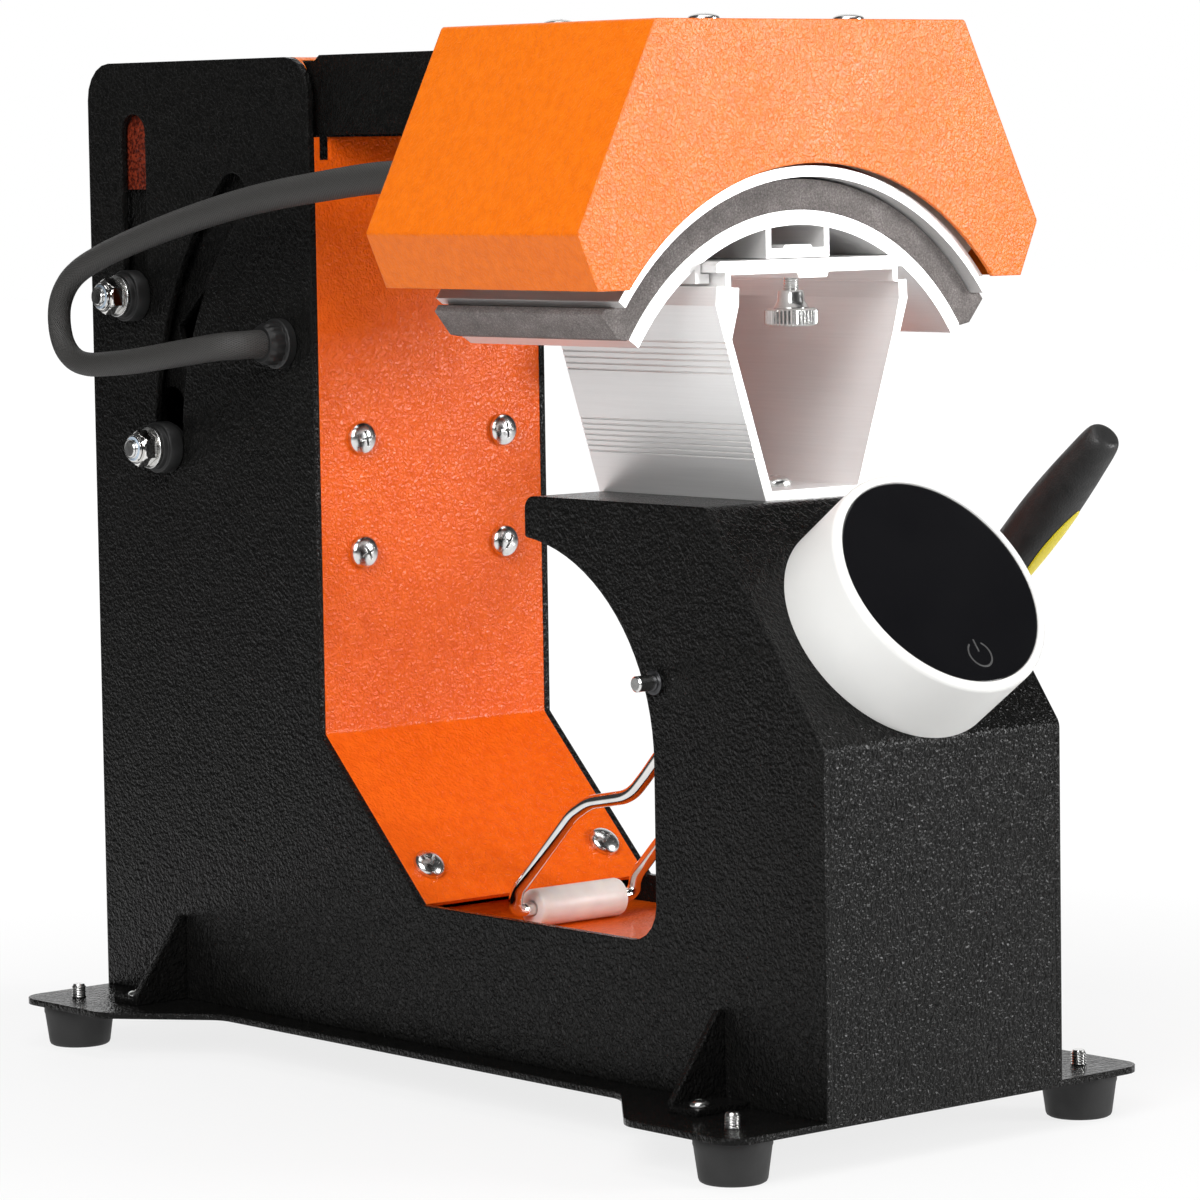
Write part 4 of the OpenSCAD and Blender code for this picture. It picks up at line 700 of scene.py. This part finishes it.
def place_screws(source, base_name, body, node, places, turn=math.pi / 2):
    """A copy of a screw at each (place in mm, normal), turned at random by up to turn."""
    for i, (place, normal) in enumerate(places):
        o = copy_at(f"{base_name}_{i + 1}", source, mm(*place), normal, rng.uniform(0, turn))
        stands_for(o, body, "zinc_plate", node)
    bpy.data.objects.remove(source)


slant_x, slant_y, slant_z = SLANT_SCREW
gusset_x, gusset_y, gusset_z = GUSSET_SCREW
feet = [(x, y) for x in (-FOOT_X, FOOT_X) for y in (-FOOT_Y, FOOT_Y)]
hood_screws = [(x, y, HOOD_TOP_Z) for x in (-HOOD_SCREW_X, HOOD_SCREW_X) for y in HOOD_SCREW_Y]
place_screws(pan_head(13.2, 4.4, 6, 11), "panel_screw", "frame", "panel_screws",
             [((x, COLUMN_Y, z), (0, -1, 0)) for x in (-PANEL_SCREW_X, PANEL_SCREW_X) for z in PANEL_SCREW_Z]
             + [((x, slant_y, slant_z), (0, -0.7071, 0.7071)) for x in (-slant_x, slant_x)])
place_screws(pan_head(7.8, 2.6, 4, 2.4), "gusset_screw", "frame", "gusset_screws",
             [((x, y, gusset_z), Z_AXIS) for x in (-gusset_x, gusset_x) for y in (-gusset_y, gusset_y)])
place_screws(pan_head(12, 4, 6, 14.4), "post_screw", "frame", "post_screws",
             [((0, y, POST_SCREW_Z), Z_AXIS) for y in POST_SCREW_Y])
place_screws(pan_head(11, 4, 6, 19), "foot_screw", "frame", "foot_screws",
             [((x, y, FOOT_SCREW_Z), (0, 0, -1)) for x, y in feet])
place_screws(pan_head(12, 2.55, 6, 15), "hood_screw", "head", "hood_screws",
             [(place, Z_AXIS) for place in hood_screws], 1.5)
spacer = [(3.1, -1.52), (4.8, -1.52), (5, -1.7), (5, -7.8), (4.8, -8), (3.1, -8)]
for i, place in enumerate(hood_screws):
    o = lathe(f"hood_spacer_{i + 1}", spacer, mm(*place), Z_AXIS, ZINC, 40, closed=True)
    stands_for(o, "head", "zinc_plate", "hood_screws")


def hex_body(name, af, h, origin, axis, mat, collar=None):
    """A nut with turned corners, and a round collar of (radius, height) on its far side."""
    heights = [0, 0.35, 0.8, 1.3, h * 0.5, h - 1.7, h - 1.1, h - 0.55, h - 0.01]
    if collar:
        heights += [h, h + collar[1] - 0.6, h + collar[1] - 0.2, h + collar[1]]

    def radius(a, z):
        if z >= h:
            into = z - h - collar[1]
            return collar[0] - (0.0 if into < -0.5 else 0.22 if into < -0.1 else 0.6)
        flat = af / 2 / math.cos((a + math.pi / 6) % (math.pi / 3) - math.pi / 6)
        low = af / 2 * 0.985 + z * 1.5
        high = af / 2 * 0.96 + (h - z) * (1.3 if collar else 1.5)
        return min(flat, low, high)
    return polar_grid(name, radius, heights, origin, axis, mat, 96, 28)


for i, y in enumerate(POST_SCREW_Y):
    o = hex_body(f"post_nut_{i + 1}", 10, 5, mm(0, y, POST_NUT_Z), (0, 0, -1), ZINC)
    stands_for(o, "frame", "zinc_plate", "post_screws")

# ---------------------------------------------------------------- axles, washers, lock nuts
for tag, (y, z), body, boss in (("lift", LIFT, "carriage", 8.2), ("guide", GUIDE, "guide_axle", 9.2)):
    ridges, x = [], 70.8
    while x < 79.3:
        ridges += [(3.55, x), (3.98, x + 0.6)]
        x += 1.2
    half = [(3.99, 0), (3.99, 70.4)] + ridges + [(3.5, AXLE_END - 0.5), (3.0, AXLE_END), (0, AXLE_END)]
    o = lathe(f"{tag}_axle_rod", [(r, -h) for r, h in half[::-1]] + half[1:], mm(0, y, z), X_AXIS, ZINC,
              48, 32)
    stands_for(o, body, "zinc_plate", f"{tag}_axle")
    for side, s in (("left", -1), ("right", 1)):
        axis = (s, 0, 0)
        o = lathe(f"{tag}_bush_{side}", [
            (4.1, 57.5), (boss - 0.4, 57.5), (boss, 57.9), (boss, 60.2), (10.1, 60.2), (10.5, 60.6),
            (10.5, 66.2), (10.2, 66.6), (9.2, 66.8), (9.0, 67.2), (9.0, 68.6), (8.7, 69.0), (4.1, 69.0)],
            mm(0, y, z), axis, NYLON, 80, closed=True)
        stands_for(o, body, "black_nylon", f"{tag}_bushes")
        o = lathe(f"{tag}_washer_{side}", [
            (4.1, 69.03), (8.3, 69.03), (8.5, 69.2), (8.5, 70.3), (8.3, 70.55), (4.4, 70.55), (4.1, 70.4)],
            mm(0, y, z), axis, ZINC, 72, closed=True)
        stands_for(o, body, "zinc_plate", f"{tag}_washers")
        o = hex_body(f"{tag}_nut_{side}", 13, 6.2, mm(s * NUT_X, y, z), axis, CHROME, (5.6, 1.6))
        ring = lathe("ring", [(3.9, 6.6), (5.05, 6.6), (5.05, 7.7), (4.75, 8.0), (3.9, 8.0)],
                     mm(s * NUT_X, y, z), axis, NUT_NYLON, 48, closed=True)
        o = join(f"{tag}_nut_{side}", o, ring)
        stands_for(o, body, "zinc_plate", f"{tag}_nuts")

# ---------------------------------------------------------------- feet
foot = [(3.3, -0.02), (13.9, -0.02), (14.4, -0.3), (14.5, -0.9), (14.5, -3.2), (14.2, -4.0),
        (12.6, -15.6), (12.2, -16.5), (11.4, -17), (7.4, -17), (6.7, -16.7), (6.5, -16), (6.5, -11.2),
        (6.2, -11), (3.3, -11)]
for i, (x, y) in enumerate(feet):
    o = lathe(f"foot_{i + 1}", foot, mm(x, y, 0), Z_AXIS, RUBBER, 72, closed=True)
    stands_for(o, "frame", "foot_rubber", "rubber_feet")

# ---------------------------------------------------------------- drum
rim = [(44, 0.02), (46.5, 0.02), (46.5, 30.6)] + arc(2.2, range(0, 91, 9), 44.3, 30.8)
rim += [(43.3, 33), (43.0, 32.9), (42.85, 32.6), (42.8, 32.2), (42.8, 30.9), (40.7, 30.9),
        (40.7, 28.9), (44, 28.9)]
o = lathe("drum_shell", rim, DRUM, DRUM_N, WHITE, 180, 50, closed=True)
stands_for(o, "frame", "white_plastic", "drum_ring")
face = [(0, 30.95), (42.4, 30.95), (42.65, 31.2), (42.65, 32.1), (42.45, 32.38), (42.1, GLASS_H),
        (0, GLASS_H)]
o = lathe("drum_face", face, DRUM, DRUM_N, GLASS, 180, 20)
stands_for(o, "frame", "black_glass", "drum_glass")

mark_at = DRUM + DRUM_N * GLASS_H * MM + Vector(X_AXIS) * 1.4 * MM - DRUM_UP * 31.2 * MM


def flat_strip(name, pts):
    """A raised line on the glass through 2D points in mm."""
    width = 0.75
    verts, faces = [], []
    for i, p in enumerate(pts):
        a, b = Vector(pts[max(i - 1, 0)]), Vector(pts[min(i + 1, len(pts) - 1)])
        t = (b - a).normalized()
        n = Vector((-t.y, t.x))
        for q, lift in ((-1, 0.0), (-0.7, 0.035), (0.7, 0.035), (1, 0.0)):
            c = Vector(p) + n * q * width / 2
            verts.append(mark_at + (Vector(X_AXIS) * c.x + DRUM_UP * c.y) * MM + DRUM_N * lift * MM)
    for i in range(len(pts) - 1):
        for k in range(3):
            faces.append([i * 4 + k, i * 4 + k + 1, i * 4 + k + 5, i * 4 + k + 4])
    return piece(name, verts, faces, SYMBOL)


mark = join("power_mark", flat_strip("mark_arc", [(x, y) for y, x in arc(5.2, range(32, 329, 6))]),
            flat_strip("mark_bar", [(0, 6.2), (0, 3.5), (0, 1.0)]))
stands_for(mark, "frame", "black_glass")

# ---------------------------------------------------------------- thumb screw of the cap platen
KNURLS, KNURL_DEEP = 40, 0.42


def saw(turns):
    """0 in the middle of each turn and 1 at its ends."""
    return abs((turns % 1.0) * 2 - 1)


def thread(a, h):
    return 3.0 - 0.42 * saw(h - a / (2 * math.pi))


def knurl(a, h):
    edge = min(h, WHEEL_H - h)
    r = 9.95 - max(0, 0.8 - edge) * 0.9
    return r - (KNURL_DEEP * saw(a / (2 * math.pi) * KNURLS) if edge > 0.25 else KNURL_DEEP)


thumb_at = mm(0, THUMB_Y, WHEEL_Z)
shaft = polar_grid("shaft", thread, [THREAD_Z - WHEEL_Z + 0.125 * k for k in range(95)], thumb_at, Z_AXIS,
                   ZINC, 48, 50)
neck = lathe("neck", [(0, 6.5), (6.4, 6.5), (6.7, 6.8), (6.0, 7.8), (5.2, 9.2), (5.0, 12.4), (4.6, 13.2),
                      (2.9, 13.4), (0, 13.4)], thumb_at, Z_AXIS, ZINC, 64)
wheel = polar_grid("wheel", knurl, [0, 0.25, 0.5, 0.8, 1.2, 5.4, 5.8, 6.1, 6.35, WHEEL_H], thumb_at,
                   Z_AXIS, ZINC, 240, 30)
o = join("knurled_thumb_screw", wheel, neck, shaft)
stands_for(o, "thumb_screw", "zinc_plate", "thumb_screw")

# ---------------------------------------------------------------- lever: flat bar, rod, crank and grip
def bar_outline(pts, half):
    """The outline of a bar of even width through 2D points, with round ends."""
    p = [Vector(q) for q in pts]
    left, right = [], []
    for i, q in enumerate(p):
        a, b = p[max(i - 1, 0)], p[min(i + 1, len(p) - 1)]
        d0, d1 = (q - a).normalized() if i else None, (b - q).normalized() if i < len(p) - 1 else None
        for d in (d0, d1):
            if d is None:
                continue
            n = Vector((-d.y, d.x)) * half
            left.append(q + n)
            right.append(q - n)
    def cap(at, frm):
        base = math.atan2((frm - at).y, (frm - at).x)
        return [at + half * Vector((math.cos(base - math.radians(k)), math.sin(base - math.radians(k))))
                for k in range(10, 180, 10)]
    return left + cap(p[-1], left[-1]) + right[::-1] + cap(p[0], right[0])


YZ = (Vector((0, 1, 0)), Vector((0, 0, 1)))
BAR_X, BAR_T, BAR_HALF = 81.6, 6, 9
BEND, END = (84.0, 290.5), (41.0, 266.5)
lever_at, pin_at = mm(0, *LEVER), mm(0, *CRANK_PIN)
bar = prism("bar", bar_outline([LEVER, BEND], BAR_HALF), (Vector((BAR_X, 0, 0)), *YZ), BAR_T, BLACK, 0)
bar_end = prism("bar_end", bar_outline([BEND, END], BAR_HALF), (Vector((BAR_X, 0, 0)), *YZ), BAR_T,
                BLACK, 0)
boolean(bar, bar_end, "UNION")
hub = lathe("hub", [(0, 81.3), (13.4, 81.3), (14, 81.9), (14, 87.4), (13.4, 88), (9, 88), (8, 88.6),
                    (8, 91.0), (7.4, 91.6), (0, 91.6)], lever_at, X_AXIS, BLACK, 72)
shaft = lathe("shaft", [(0, 34.2), (8, 34.2), (8, 81.5), (0, 81.5)], lever_at, X_AXIS, DARK, 64)
crank = prism("crank", bar_outline([LEVER, CRANK_PIN], BAR_HALF), (Vector((34, 0, 0)), *YZ), 10, DARK, 0.8)
boss = lathe("boss", [(0, 33.6), (11.6, 33.6), (12, 34), (12, 44), (11.6, 44.4), (0, 44.4)], lever_at,
             X_AXIS, DARK, 64)
pin = lathe("pin", [(0, 11.0), (5.4, 11.0), (5.98, 11.6), (5.98, 35), (0, 35)], pin_at, X_AXIS, DARK, 48)
rod_path = rounded_line([(92.6, 78, 286.5), (92.6, 55, 274), (122, 15, 250.5), (126, 5, 243.5),
                         (126, -93, 175.5), (126, -104, 169.2), (126, -113, 170.6), (126, -121.5, 178.9)],
                        [26, 26, 22, 40, 12, 12], 8)
rod = sweep("rod", [mm(*q) for q in rod_path], 6, BLACK, 36)
for o in (bar, hub, shaft, crank, boss, pin, rod):
    outward(o)
o = join("lever_bar_and_rod", bar, hub, shaft, crank, boss, pin, rod)
stands_for(o, "lever", "black_powder_coat", "lever_arm")

# The grip's radius at each height along it
GRIP_AT, GRIP_DIR = mm(126, -117, 174.5), Vector((0, -0.7148, 0.6993))
GRIP_R = [(3, 8.0), (3.8, 8.6), (10, 9.2), (20, 9.85), (32, 10.25), (44, 10.35), (56, 10.0), (68, 9.25),
          (78, 8.4), (85, 7.75), (89, 7.1), (91, 6.2), (91.8, 5.0), (92, 3.4)]
grip_line = [(q.y, q.x) for q in catmull([(h, r, 0) for h, r in GRIP_R], 6)]
grip = lathe("grip_body", [(0, 14), (6.6, 14), (6.6, 3.2), (7.2, 3.0)] + grip_line[1:] + [(0, 92)],
             GRIP_AT, GRIP_DIR, GRIP, 96, 50)
gx, gy, gz = basis(GRIP_DIR)

# The yellow inlay: its height on the grip, half its length and its half angle
INLAY_H, INLAY_HALF, INLAY_A, INLAY_N = 36.0, 22.0, math.radians(33), 72
INLAY_WAY = Vector((0.295, -0.660, -0.685))
inlay_a0 = math.atan2(INLAY_WAY.dot(gy), INLAY_WAY.dot(gx))


def grip_radius(h):
    for (h0, r0), (h1, r1) in zip(GRIP_R, GRIP_R[1:]):
        if h <= h1:
            t = (h - h0) / (h1 - h0)
            return r0 + (r1 - r0) * t
    return GRIP_R[-1][1]


def on_grip(a, h, lift):
    return GRIP_AT + (gx * math.cos(a) + gy * math.sin(a)) * (grip_radius(h) + lift) * MM + gz * h * MM


def inlay_ring(rho, lift):
    """Points around the inlay's middle at rho times its size, lifted off the grip."""
    turns = [2 * math.pi * k / INLAY_N for k in range(INLAY_N)]
    return [on_grip(inlay_a0 + INLAY_A * rho * math.sin(t), INLAY_H + INLAY_HALF * rho * math.cos(t), lift)
            for t in turns]


steps = [(0.2, 0.42), (0.4, 0.42), (0.6, 0.42), (0.8, 0.42), (0.92, 0.40), (0.97, 0.33), (1.0, 0.18),
         (1.01, -0.2)]
verts = [on_grip(inlay_a0, INLAY_H, 0.42)]
for rho, lift in steps:
    verts += inlay_ring(rho, lift)
faces = [[0, 1 + k, 1 + (k + 1) % INLAY_N] for k in range(INLAY_N)] + rings_between(len(steps), INLAY_N, 1)
inlay = outward(piece("inlay", verts, faces, YELLOW, 60))
if inlay.data.polygons[0].normal.dot(INLAY_WAY) < 0:
    inlay.data.flip_normals()
verts = inlay_ring(1.0, 0.02) + inlay_ring(1.035, 0.10) + inlay_ring(1.07, 0.02)
seam = piece("seam", verts, rings_between(3, INLAY_N), NYLON, 60)
stands_for(join("grip_with_inlay", grip, inlay, seam), "lever", "grip_rubber", "lever_grip")

# ---------------------------------------------------------------- cap hold-down: wire, roller, spring, clips
def wire_at(run, rise):
    """A point of the bow: its share of the way from pivot to roller, and of their difference in height."""
    return (PIVOT[0] + run * (ROLLER[0] - PIVOT[0]), ROLLER[1] + rise * (PIVOT[1] - ROLLER[1]))


side = [(PIVOT[0] + 5.2, PIVOT[1] - 4.6), wire_at(0.33, 0.60), wire_at(0.41, 0.51), wire_at(0.615, 0.465),
        wire_at(0.70, 0.41), wire_at(0.985, 0.08), ROLLER]
legs = [(-BOW_X, *q) for q in side] + [(BOW_X, *q) for q in side[::-1]]
radii = [24, 24, 26, 26, 9, 5, 5, 9, 26, 26, 24, 24]
wire = sweep("wire", [mm(*q) for q in rounded_line(legs, radii, 8)], 2.75, CHROME, 28)
eye = [(3.06, -2.3), (3.5, -2.72), (5.2, -2.75), (6.1, -2.3), (6.6, -1.2), (6.6, 1.2), (6.1, 2.3),
       (5.2, 2.75), (3.5, 2.72), (3.06, 2.3)]
eyes = [lathe("eye", eye, mm(x, *PIVOT), X_AXIS, CHROME, 56, 45, closed=True) for x in (-BOW_X, BOW_X)]
o = join("hold_down_bow", outward(wire), *eyes)
stands_for(o, "hold_down", "chrome_wire", "hold_down_wire")
sleeve = [(2.82, -21.4), (3.4, -22), (6.7, -22), (7.3, -21.6), (7.5, -21), (7.5, 21), (7.3, 21.6), (6.7, 22),
          (3.4, 22), (2.82, 21.4)]
o = lathe("roller_sleeve", sleeve, mm(0, *ROLLER), X_AXIS, PTFE, 72, closed=True)
stands_for(o, "roller", "white_ptfe", "hold_down_roller")
COIL_R, COIL_W, COIL_STEPS, STEPS_A_TURN = 4.6, 6.8, 100, 20
coil = []
for k in range(COIL_STEPS + 1):
    a = 2 * math.pi * k / STEPS_A_TURN
    coil.append(mm(-COIL_W / 2 + COIL_W * k / COIL_STEPS, PIVOT[0] + COIL_R * math.cos(a),
                   PIVOT[1] + COIL_R * math.sin(a)))
tails = [mm(0, 0, -drop) for drop in (11, 6, 1.5)]
coil = [coil[0] + t for t in tails] + coil + [coil[-1] + t for t in tails[::-1]]
o = sweep("coil_spring", coil, 0.6, ZINC, 12)
stands_for(o, "frame", "zinc_plate", "return_spring")
half = [(3, 61.3), (2.4, 61.4), (2.4, 62.6), (3, 62.7), (3, 70.4), (2.4, 71), (0, 71)]
o = lathe("pivot_bar", [(r, -x) for r, x in half[::-1]] + half, mm(0, *PIVOT), X_AXIS, ZINC, 48, 32)
stands_for(o, "frame", "zinc_plate", "pivot_rod")
for tag, x in (("left", -62.4), ("right", 61.55)):
    clip = arc(4.7, range(38, 323, 8), *PIVOT) + arc(2.42, range(322, 37, -12), *PIVOT)
    o = prism(f"pivot_clip_{tag}", clip, (Vector((x, 0, 0)), *YZ), 0.9, DARK, 0.15)
    stands_for(o, "frame", "zinc_plate", "pivot_clips")

# ---------------------------------------------------------------- cable gland and grommet
def gland_nut(a, h):
    """The gland's radius: a round foot, then a ribbed cap that narrows to the cable."""
    ridge = 0.45 * (0.5 - 0.5 * math.cos(a * 14))
    if h < 4.2:
        return 10.0 - (0.4 if h < 0.3 or h > 3.9 else 0)
    taper = max(0, h - 8.2) * 0.42
    return 8.6 - (ridge if h < 9.3 else 0.3) - taper


steps = [-3.5, 0, 0.05, 0.35, 3.8, 4.1, 4.25, 4.6, 8.2, 9.2, 10.2, 10.9, 11.0]
o = polar_grid("gland_body", gland_nut, steps, mm(-60, *GLAND), (-1, 0, 0), NYLON, 168, 30)
stands_for(o, "frame", "black_nylon", "cable_gland")
grommet = [(6.3, -6.5), (9.2, -6.5), (9.6, -6), (9.6, -3), (8.1, -2.4), (8.1, 0.02), (10.7, 0.02), (11, 0.4),
           (11, 2.4), (10.6, 3), (9.6, 3.3), (9.2, 4.2), (8.4, 8.8), (7.9, 9.8), (7.2, 10), (6.3, 9.6)]
o = lathe("grommet_body", grommet, mm(*GROMMET), (0, 1, 0), RUBBER, 72, closed=True)
stands_for(o, "head", "black_nylon", "cable_grommet")


# ---------------------------------------------------------------- silicone pad
def from_top(r, a):
    """A point at a radius in mm and an angle in degrees from straight up."""
    return (r * math.sin(math.radians(a)), r * math.cos(math.radians(a)))


outer = [from_top(PAD_R1, a) for a in range(0, 53, 4)]
outer += [from_top(r, a) for r, a in ((PAD_R1, 53.2), (112.6, 54.0), (115.8, 54.9), (116, 56.4), (105, 58.2),
                                      (100.6, 57.2), (PAD_R0, 56.6))]
under = [from_top(PAD_R0, a) for a in range(56, -1, -4)]
ring = outer + under[:-1] + [(-x, y) for x, y in under[::-1]] + [(-x, y) for x, y in outer[:0:-1]]
ring = rounded_line([(*q, 0) for q in ring + ring[:1]], [0.4] * (len(ring) - 1), 2)[:-1]
o = prism("cap_pad", [(q.x, q.y) for q in ring], (Vector((0, PAD_Y1, PLATEN_Z)), X_AXIS, Z_AXIS),
          PAD_Y1 - PAD_Y0, FOAM, 0.9, 34, 2)
stands_for(o, "cap_platen", "silicone_pad", "platen_pad")


# ---------------------------------------------------------------- right plate, welded seamless
def cad_copy(node):
    me = NODES[node].data.copy()
    bpy.context.view_layer.update()
    me.transform(NODES[node].matrix_world)
    o = bpy.data.objects.new(node + "_copy", me)
    bpy.context.scene.collection.objects.link(o)
    return o


LENGTHS = ("side_plate_right", "rear_side_right", "upper_side_right", "pedestal_side_right")
plate = cad_copy(LENGTHS[0])
for n in LENGTHS[1:]:
    boolean(plate, cad_copy(n), "UNION")
bm = bmesh.new()
bm.from_mesh(plate.data)
bmesh.ops.remove_doubles(bm, verts=bm.verts, dist=2e-6)
bmesh.ops.dissolve_limit(bm, angle_limit=math.radians(0.3), verts=bm.verts, edges=bm.edges)
bm.to_mesh(plate.data)
bm.free()
smooth_by_angle(plate.data, 30)
plate.name = "right_plate_welded"
plate.data.materials.clear()
plate.data.materials.append(BLACK)
stands_for(plate, "frame", "black_powder_coat", *LENGTHS)

# ---------------------------------------------------------------- cable to the head
PER_STEP = 5
SLEEVE_END, SLEEVE_SLACK, SLEEVE_HOOD = 5.7, 4.7, 6.2
route = catmull([mm(*p) for p in CABLE], PER_STEP)
low_run, high_run = route[:CABLE_SPLIT * PER_STEP + 1], route[CABLE_SPLIT * PER_STEP:]


def slim(path, a, b):
    """The sleeve's radius in mm: it lies slack and slim in the loop."""
    ease = [0.5 - 0.5 * math.cos(math.pi * i / (len(path) - 1)) for i in range(len(path))]
    return [a + (b - a) * t for t in ease]


cable_low = sweep("cable_low_run", low_run, slim(low_run, SLEEVE_END, SLEEVE_SLACK), BRAID, 28)
cable_high = sweep("cable_high_run", high_run, slim(high_run, SLEEVE_SLACK, SLEEVE_HOOD), BRAID, 28)
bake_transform(cable_low)
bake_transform(cable_high)
for cable, run in ((cable_low, low_run), (cable_high, high_run)):
    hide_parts("head_cable")

# ---------------------------------------------------------------- floor, white to the camera, with a shadow
FLOOR_HALF, FLOOR_Z = 9, -FOOT_H * MM
floor_mat = Mat("floor", (0.78, 0.78, 0.78), 0.6)
floor_mat.color(floor_mat.ramp(floor_mat.noise(3, 2), (0.3, (0.77, 0.77, 0.77)), (0.7, (0.79, 0.79, 0.79))))
reach = floor_mat.node("ShaderNodeVectorMath", operation="LENGTH")
floor_mat.link(floor_mat.coord, reach.inputs[0])
reach = reach.outputs["Value"]
shaded = floor_mat.b.outputs[0]
pale = floor_mat.mix("ShaderNodeMixShader", floor_mat.remap(reach, 0.30, 0.75, 0.76, 1.0), shaded,
                     floor_mat.white("ShaderNodeEmission", 1.06))
seen = floor_mat.node("ShaderNodeLightPath").outputs
near = floor_mat.remap(reach, 0.45, 1.0, 1.0, 0.0)
shown = floor_mat.math("MAXIMUM", seen["Is Transmission Ray"],
                       floor_mat.math("MULTIPLY", seen["Is Glossy Ray"], near))
shown = floor_mat.math("MAXIMUM", shown, seen["Is Camera Ray"])
floor_mat.link(floor_mat.mix("ShaderNodeMixShader", shown, shaded, pale), floor_mat.out)
corners = [(x * FLOOR_HALF, y * FLOOR_HALF, FLOOR_Z) for x, y in ((-1, -1), (1, -1), (1, 1), (-1, 1))]
piece("floor", corners, [[0, 1, 2, 3]], floor_mat.m)

# ---------------------------------------------------------------- world and lamps
WORLD_FILL = 0.045
BACKDROP_WAY = (0.64, 0.76, 0.1)
world = bpy.data.worlds.new("studio")
bpy.context.scene.world = world
world.use_nodes = True
sky = Graph(world.node_tree)
# A white backdrop behind the object, which metal and glass show too
along = sky.node("ShaderNodeVectorMath", operation="DOT_PRODUCT")
along.inputs[1].default_value = BACKDROP_WAY
sky.link(sky.node("ShaderNodeTexCoord").outputs["Generated"], along.inputs[0])
behind = sky.remap(along.outputs["Value"], 0.70, 0.85, 0.0, 1.0)
seen = sky.node("ShaderNodeLightPath").outputs
shown = sky.math("MAXIMUM", seen["Is Glossy Ray"], seen["Is Transmission Ray"])
shown = sky.math("MAXIMUM", sky.math("MULTIPLY", shown, behind), seen["Is Camera Ray"])
sky.link(sky.mix("ShaderNodeMixShader", shown, sky.white("ShaderNodeBackground", WORLD_FILL),
                 sky.white("ShaderNodeBackground", 1.0)), sky.node("ShaderNodeOutputWorld").inputs[0])


def softbox(name, place, target, size, power):
    """A square lamp of a size in metres and a power in watts, turned to its target."""
    d = bpy.data.lights.new(name, "AREA")
    d.shape = "RECTANGLE"
    d.size = size
    d.size_y = size
    d.energy = power
    o = bpy.data.objects.new(name, d)
    bpy.context.scene.collection.objects.link(o)
    o.location = place
    o.rotation_euler = (Vector(target) - Vector(place)).to_track_quat("-Z", "Y").to_euler()


softbox("key_left", (-1.7, -1.0, 1.35), (0, 0, 0.25), 1.3, 46)
softbox("front_right", (1.35, -1.65, 0.55), (0, -0.05, 0.2), 0.62, 29)
softbox("top", (0.1, -0.2, 2.2), (0, 0, 0.2), 1.6, 18)
